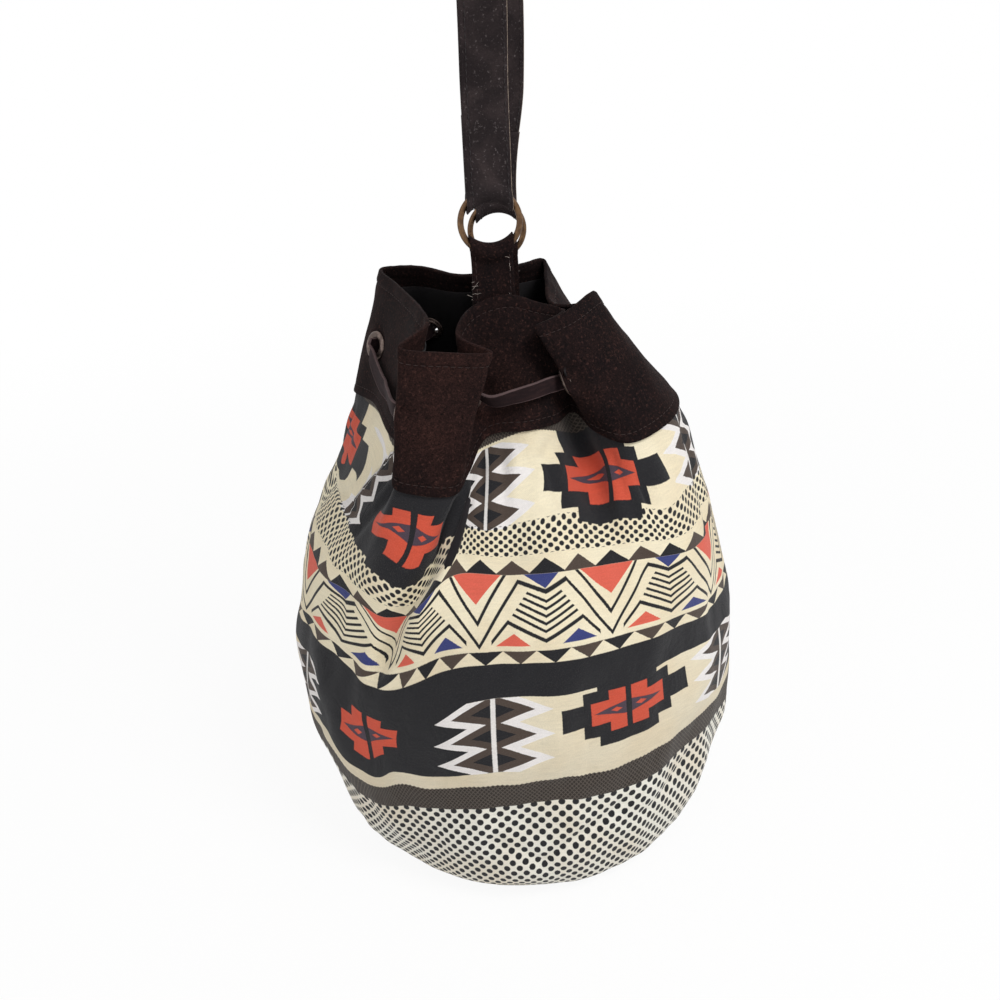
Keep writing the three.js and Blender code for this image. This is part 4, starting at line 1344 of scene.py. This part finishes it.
def build_strap(colours):
    """One long suede strap from ring to ring, its ends turned over the wires and sewn."""
    leg, neck, arc = turned_end(STRAP_WIDTH, STRAP)
    front_y, back_y = FRONT_RING[1], BACK_RING[1]
    front_wire, back_wire = FRONT_RING[2] + RING_RADIUS, BACK_RING[2] + RING_RADIUS
    front_end, back_end = front_wire - neck + STRAP_END, back_wire - neck + STRAP_END
    top = front_wire + STRAP_DROP
    middle = (front_y + back_y) / 2 - STRAP_LEAN / 2
    shoulder = top - STRAP_ARCH * 2.2

    def end(y, wire, inner):
        rise = [wire - neck + h for h in np.linspace(STRAP_END, 0, 14)]
        return ([(y + inner * leg, h) for h in rise] + [(y - inner * d, wire - r) for d, r in arc]
                + [(y - inner * leg, h) for h in rise[::-1]])

    strand = through([
        (front_y - leg, front_end), (front_y - leg - 1, front_end + 15),
        (front_y - leg - STRAP_LEAN, (front_wire * 2 + top) / 3), (middle - STRAP_ARCH - 3, shoulder),
        (middle - STRAP_ARCH * 0.85, top - STRAP_ARCH * 0.6), (middle, top),
        (middle + STRAP_ARCH * 0.85, top - STRAP_ARCH * 0.6), (middle + STRAP_ARCH + 3, shoulder),
        (back_y + leg - STRAP_LEAN, (back_wire * 2 + top) / 3),
        (back_y + leg - 1, back_end + 15), (back_y + leg, back_end)], 12)
    path = np.array(end(front_y, front_wire, 1) + list(strand[1:-1]) + end(back_y, back_wire, -1)[::-1])
    along = line_lengths(path)
    half = len(path) // 2
    over = smoothstep(np.linspace(0, 1, len(path)), 0.35, 0.65)
    middle_x = np.interp(over, [0, 1], [FRONT_RING[0], BACK_RING[0]])
    # The back strand is moved sideways, softly from its ring and softly over the top
    back = np.arange(len(path)) > half
    nearly = along[half] - 60
    shift = back * smoothstep(path[:, 1], back_wire - neck + 6, back_wire - neck + 60)
    shift = shift + (along > nearly) * ~back * smoothstep(along, nearly, along[half])
    middle_x = middle_x + shift * STRAND_SHIFT
    wires = np.where(np.arange(len(path)) < half, front_wire, back_wire)

    def place(across, depth, height):
        free = smoothstep(height, wires - neck, wires - neck + STRAP_END)
        wobble = waves(along, np.full_like(along, across), 46, 81) * 0.22
        sway = waves(along, np.zeros_like(along), 120, 83) * 0.35
        return np.stack([middle_x + across + sway * free, depth + wobble * free,
                         height - wire_rise(across) * (1 - free)], 1)

    piece = bent_strip("suede_strap", path, STRAP_WIDTH, STRAP, 14, place, soften=0.4, raw=(1,))
    finish(piece, "strap", "strap_suede", "shoulder_strap", material=strap_suede(colours))
    tangent = unit(np.gradient(path, axis=0))
    normal = np.stack([np.zeros(len(path)), tangent[:, 1], -tangent[:, 0]], 1)
    sewn = []
    for side in (1, -1):
        for inset in (-STRAP_WIDTH / 2 + 3.4, STRAP_WIDTH / 2 - 2.0):
            spot = path + normal[:, 1:] * side * STRAP / 2
            line = place(inset, spot[:, 0], spot[:, 1])
            sewn += stitches(line[6:-6], normal[6:-6] * side, 3.6, 2.9, 0.3, 0.12, closed=False)
    seam = threads("strap_stitching", sewn, 0.25)
    finish(seam, "strap", "strap_suede", material=thread("strap_thread", srgb(46, 41, 42)))


def build_thong(colours, sizes):
    """The thong: through each eyelet in turn, with its knot and two tails behind the bag."""
    width, thickness = millimetres(sizes.thong_width), millimetres(sizes.thong_thickness)
    upright = (0, 0, 1)

    def away(station, distance):
        point, outward = band_place(station, EYELET_LEVEL)
        return point + unit(outward * (1, 1, 0)) * distance

    knot = away(BACK_VALLEY, 12)
    route, across = [knot], [upright]
    for step in range(len(EYELETS)):
        number = (step + KNOT_AFTER + 1) % len(EYELETS)
        centre, outward = EYELETS[number]
        lead = [centre + outward * reach for reach in (4.5, 0, -6)]
        entering = step % 2 == 0
        route += lead if entering else lead[::-1]
        across += [upright] * 3
        if number in CROSSINGS:
            route += [np.array(spot, float) for spot in CROSSINGS[number]]
            across += CROSSING_WIDTHS[number]
        elif number == RIGHT_EYELET and not entering:
            route.append(away(RIGHT_VALLEY, 8))
            across.append(upright)
    line = through(route + [knot], 14)
    pieces = [thong_strip("thong_cord", line, through(across + [upright], 14), width, thickness)]
    depth = GATHERS[BACK_VALLEY][1][1] + 9
    for side in (-1, 1):
        tail = through([knot, (knot[0] + side * 5.4, depth - 5, knot[2] - 18.4),
                        (knot[0] + side * 9, depth + 5, knot[2] - 46)], 16)
        pieces.append(thong_strip("thong_tail", tail, np.array([1.0, 0, 0]), width, thickness))
    for tilt, radius in ((0.5, 5.2), (-0.6, 5.0), (0.05, 4.4)):
        angles = np.linspace(0, 2 * math.pi, 41)
        loop = np.stack([np.cos(angles) * radius * 1.2, np.sin(angles) * radius * 0.62,
                         np.cos(angles) * radius * tilt + np.sin(angles * 2) * 0.6], 1)
        pieces.append(thong_strip("thong_wrap", loop + knot, np.array([0.1, 0.15, 1.0]), 5.4, thickness))
    finish(join(pieces, "drawstring_thong"), "bag", "thong_leather", "drawstring",
           material=thong_leather(colours))


def thong_strip(name, line, across, width, thickness):
    """A flat strip along a line, its width along one direction or along one for each spot of the line."""
    line = resample(line, 1.6)
    tangent = unit(np.gradient(line, axis=0))
    if np.ndim(across) == 1:
        across = np.tile(across, (len(line), 1))
    else:
        places = np.linspace(0, len(across) - 1, len(line))
        across = np.stack([np.interp(places, np.arange(len(across)), across[:, a]) for a in range(3)], 1)
    across = unit(across - tangent * np.sum(across * tangent, axis=1, keepdims=True))
    normal = np.cross(tangent, across)
    half = ((0.5, 0.3), (0.47, 0.5), (0.42, 0.52), (0.34, 0.42), (0.15, 0.46), (-0.15, 0.46), (-0.34, 0.42),
            (-0.42, 0.52), (-0.47, 0.5), (-0.5, 0.3))
    ring = half + tuple((-a, -b) for a, b in half)
    grid = np.array([line + across * a * width + normal * b * thickness for a, b in ring]).transpose(1, 0, 2)
    piece = closed_piece(name, grid.reshape(-1, 3), capped_faces(len(grid), len(ring)))
    set_value(piece, "edge", np.tile([1.0 if abs(a) > 0.45 else 0.0 for a, _ in ring], len(grid)))
    return piece


# The photograph's camera: its place in metres, and its turns
CAMERA_PLACE = (-0.083, -0.635, 0.488)
CAMERA_YAW = math.atan2(78, 635)
CAMERA_PITCH = math.radians(24.1)
CAMERA_ROLL = math.radians(3)
FILM_WIDTH = 36


def build_floor(settings):
    """A pale floor with faint shadows near the bag, seen as white further off."""
    bpy.ops.object.select_all(action="DESELECT")
    bpy.ops.mesh.primitive_plane_add(size=12, location=(0, 0, 0))
    floor = bpy.context.view_layer.objects.active
    floor.name = "studio_floor"
    tones = new_tones("studio_floor")
    tone = settings.floor_tone
    cloth = tones.node("ShaderNodeBsdfDiffuse", {"Color": (tone, tone, tone * 0.995)}).outputs[0]
    glow = tones.node("ShaderNodeEmission", {"Color": (1.0, 1.0, 1.0), "Strength": 1.0}).outputs[0]
    seen = tones.seen_directly()
    away = tones.node("ShaderNodeVectorMath", {0: tones.place()}, operation="LENGTH").outputs["Value"]
    fade = tones.node("ShaderNodeMapRange", {"Value": away, 1: 0.35, 2: 1.5}, interpolation_type="SMOOTHSTEP")
    share = seen * (Field(tones, fade.outputs[0]) * (1 - settings.floor_glow) + settings.floor_glow)
    mixed = tones.node("ShaderNodeMixShader", {0: share, 1: cloth, 2: glow}).outputs[0]
    tones.node("ShaderNodeOutputMaterial", {"Surface": mixed})
    floor.data.materials.append(tones.owner)


def build_lamps(scene, settings):
    """Three soft square lamps that face the bag."""
    target = Vector((0, 0, 0.2))
    for name, power, size, place in (
            ("key_lamp", settings.key_power, 0.8, (0.85, -1.0, 1.75)),
            ("fill_lamp", settings.fill_power, 1.6, (-1.5, -1.0, 0.9)),
            ("back_lamp", settings.fill_power * 0.7, 1.6, (0.3, 1.8, 1.5))):
        lamp = bpy.data.lights.new(name, "AREA")
        lamp.energy = power
        lamp.size = size
        holder = bpy.data.objects.new(name, lamp)
        scene.collection.objects.link(holder)
        holder.location = place
        holder.rotation_euler = (target - Vector(place)).to_track_quat("-Z", "Y").to_euler()


def build_world(scene):
    """A pale surrounding that is white to the camera and dimmer as a light."""
    dim = 0.52
    tones = Tones(bpy.data.worlds.new("studio"))
    scene.world = tones.owner
    strength = tones.math("MULTIPLY_ADD", tones.seen_directly(), 1 - dim, dim)
    light = tones.node("ShaderNodeBackground", {0: (1, 1, 1), 1: strength}).outputs[0]
    tones.node("ShaderNodeOutputWorld", {0: light})


def build_camera(scene, settings):
    """The camera at the photograph's place and angle."""
    lens = bpy.data.cameras.new("camera")
    lens.lens = settings.lens
    lens.sensor_width = FILM_WIDTH
    lens.sensor_fit = "HORIZONTAL"
    lens.clip_start, lens.clip_end = 0.01, 50
    camera = bpy.data.objects.new("camera", lens)
    scene.collection.objects.link(camera)
    yaw, pitch, roll = CAMERA_YAW, CAMERA_PITCH, CAMERA_ROLL
    forward = np.array([math.sin(yaw) * math.cos(pitch), math.cos(yaw) * math.cos(pitch), -math.sin(pitch)])
    level = np.array([math.cos(yaw), -math.sin(yaw), 0])
    above = np.cross(level, forward)
    right = math.cos(roll) * level - math.sin(roll) * above
    top = math.sin(roll) * level + math.cos(roll) * above
    turn = Matrix(np.stack([right, top, -forward], 1).tolist()).to_4x4()
    camera.matrix_world = Matrix.Translation(CAMERA_PLACE) @ turn
    scene.camera = camera


class BagColours(PropertyGroup):
    """The finishes' colours."""
    cream: FloatVectorProperty(name="Canvas", description="Bare canvas in the upper part", subtype="COLOR",
                               default=srgb(238, 227, 198), min=0, max=1)
    # The lower canvas colour is partly painted shade on the downward-facing part of the bag and partly the
    # cloth's own beige.
    shade: FloatVectorProperty(name="Lower canvas", description="Bare canvas in the lower part",
                               subtype="COLOR", default=srgb(218, 207, 183), min=0, max=1)
    ink_black: FloatVectorProperty(name="Black ink", description="Darkest print colour", subtype="COLOR",
                                   default=srgb(29, 29, 33), min=0, max=1)
    ink_brown: FloatVectorProperty(name="Brown ink", description="Brown print colour", subtype="COLOR",
                                   default=srgb(76, 64, 57), min=0, max=1)
    ink_red: FloatVectorProperty(name="Red ink", description="Orange red print colour", subtype="COLOR",
                                 default=srgb(206, 78, 52), min=0, max=1)
    ink_blue: FloatVectorProperty(name="Blue ink", description="Blue print colour", subtype="COLOR",
                                  default=srgb(54, 62, 120), min=0, max=1)
    suede: FloatVectorProperty(name="Band suede", description="Suede of the band and tabs", subtype="COLOR",
                               default=srgb(15, 8, 9), min=0, max=1)
    # Brushed suede is also the colour of the painted highlight on the band's left front fold.
    suede_light: FloatVectorProperty(name="Brushed suede", description="Suede where it catches the light",
                                     subtype="COLOR", default=srgb(52, 31, 27), min=0, max=1)
    strap: FloatVectorProperty(name="Strap suede", description="Suede of the shoulder strap", subtype="COLOR",
                               default=srgb(36, 30, 31), min=0, max=1)
    strap_light: FloatVectorProperty(name="Brushed strap", description="Strap where it catches the light",
                                     subtype="COLOR", default=srgb(66, 56, 56), min=0, max=1)
    thong: FloatVectorProperty(name="Thong", description="Face of the leather thong", subtype="COLOR",
                               default=srgb(32, 21, 23), min=0, max=1)
    thong_edge: FloatVectorProperty(name="Thong edge", description="Cut edges of the leather thong",
                                    subtype="COLOR", default=srgb(104, 86, 86), min=0, max=1)


class BagSizes(PropertyGroup):
    """The sizes of the eyelets and of the thong."""
    eyelet_hole: FloatProperty(name="Eyelet hole", description="Inner diameter of the eyelets", default=0.010,
                               min=0.006, max=0.012, precision=4, unit="LENGTH")
    eyelet_flange: FloatProperty(name="Eyelet flange", description="Outer diameter of the eyelets",
                                 default=0.018, min=0.018, max=0.022, precision=4, unit="LENGTH")
    thong_width: FloatProperty(name="Thong width", description="Width of the flat leather thong",
                               default=0.0093, min=0.004, max=0.012, precision=4, unit="LENGTH")
    thong_thickness: FloatProperty(name="Thong thickness", description="Thickness of the leather thong",
                                   default=0.0017, min=0.001, max=0.003, precision=4, unit="LENGTH")


class BagStage(PropertyGroup):
    """The floor, the lamps and the camera."""
    floor_tone: FloatProperty(name="Floor tone", description="How pale the floor is", default=0.93,
                              min=0, max=1, subtype="FACTOR")
    floor_glow: FloatProperty(name="Floor brightness", description="How far the camera sees the floor white",
                              default=0.92, min=0, max=1, subtype="FACTOR")
    key_power: FloatProperty(name="Key light", description="Power of the main lamp", default=22.0, min=0,
                             unit="POWER")
    fill_power: FloatProperty(name="Fill light", description="Power of the second lamp", default=4.5, min=0,
                              unit="POWER")
    lens: FloatProperty(name="Lens", description="Focal length of the camera", default=39.28, min=1,
                        subtype="DISTANCE_CAMERA")


class BAG_OT_canvas(Operator):
    """Builds the canvas body with its print and creases, and the round base."""
    bl_idname = "bag.canvas"
    bl_label = "Canvas body and base"

    def execute(self, context):
        build_canvas(context.scene.bag_colours)
        build_base()
        return {"FINISHED"}


class BAG_OT_band(Operator):
    """Builds the gathered suede band, its stitching and the lining inside it."""
    bl_idname = "bag.band"
    bl_label = "Suede band and lining"

    def execute(self, context):
        hole = millimetres(context.scene.bag_sizes.eyelet_hole)
        build_band(context.scene.bag_colours, hole)
        build_lining(canvas_faces()[1], hole)
        return {"FINISHED"}


class BAG_OT_metal(Operator):
    """Builds the eyelets, their washers and the two rings."""
    bl_idname = "bag.metal"
    bl_label = "Eyelets and rings"

    def execute(self, context):
        build_eyelets(context.scene.bag_sizes)
        build_rings()
        return {"FINISHED"}


class BAG_OT_thong(Operator):
    """Builds the flat leather thong with its knot and tails."""
    bl_idname = "bag.thong"
    bl_label = "Thong"

    def execute(self, context):
        build_thong(context.scene.bag_colours, context.scene.bag_sizes)
        return {"FINISHED"}


class BAG_OT_straps(Operator):
    """Builds the two ring tabs and the shoulder strap, with their stitching and loose threads."""
    bl_idname = "bag.straps"
    bl_label = "Tabs and shoulder strap"

    def execute(self, context):
        thread("loose_thread", srgb(176, 164, 156))
        build_tab("front_ring_tab", "front_tab", FRONT_RING, -1)
        build_tab("back_ring_tab", "back_tab", BACK_RING, 1)
        build_strap(context.scene.bag_colours)
        return {"FINISHED"}


class BAG_OT_stage(Operator):
    """Builds the pale floor, the soft lamps and the camera at the photograph's angle."""
    bl_idname = "bag.stage"
    bl_label = "Stage"

    def execute(self, context):
        scene, settings = context.scene, context.scene.bag_stage
        build_floor(settings)
        build_lamps(scene, settings)
        build_world(scene)
        build_camera(scene, settings)
        scene.view_settings.view_transform = "Standard"
        return {"FINISHED"}


class BAG_PT_panel(Panel):
    """Lists the bag's colours and sizes, the stage's settings and the operators."""
    bl_idname = "BAG_PT_panel"
    bl_label = "Bucket Bag"
    bl_space_type = "VIEW_3D"
    bl_region_type = "UI"
    bl_category = "Bucket Bag"

    def draw(self, context):
        layout = self.layout
        for group in (context.scene.bag_colours, context.scene.bag_sizes, context.scene.bag_stage):
            for name in group.__annotations__:
                layout.prop(group, name)
        for step in STEPS:
            layout.operator(step.bl_idname)


STEPS = (BAG_OT_band, BAG_OT_canvas, BAG_OT_metal, BAG_OT_thong, BAG_OT_straps, BAG_OT_stage)
CLASSES = (BagColours, BagSizes, BagStage) + STEPS + (BAG_PT_panel,)


def register():
    for cls in CLASSES:
        bpy.utils.register_class(cls)
    bpy.types.Scene.bag_colours = PointerProperty(type=BagColours)
    bpy.types.Scene.bag_sizes = PointerProperty(type=BagSizes)
    bpy.types.Scene.bag_stage = PointerProperty(type=BagStage)


def unregister():
    del bpy.types.Scene.bag_stage
    del bpy.types.Scene.bag_sizes
    del bpy.types.Scene.bag_colours
    for cls in reversed(CLASSES):
        bpy.utils.unregister_class(cls)


def main():
    register()
    bpy.ops.bag.band()
    bpy.ops.bag.canvas()
    bpy.ops.bag.metal()
    bpy.ops.bag.thong()
    bpy.ops.bag.straps()
    bpy.ops.bag.stage()


if __name__ == "__main__":
    main()
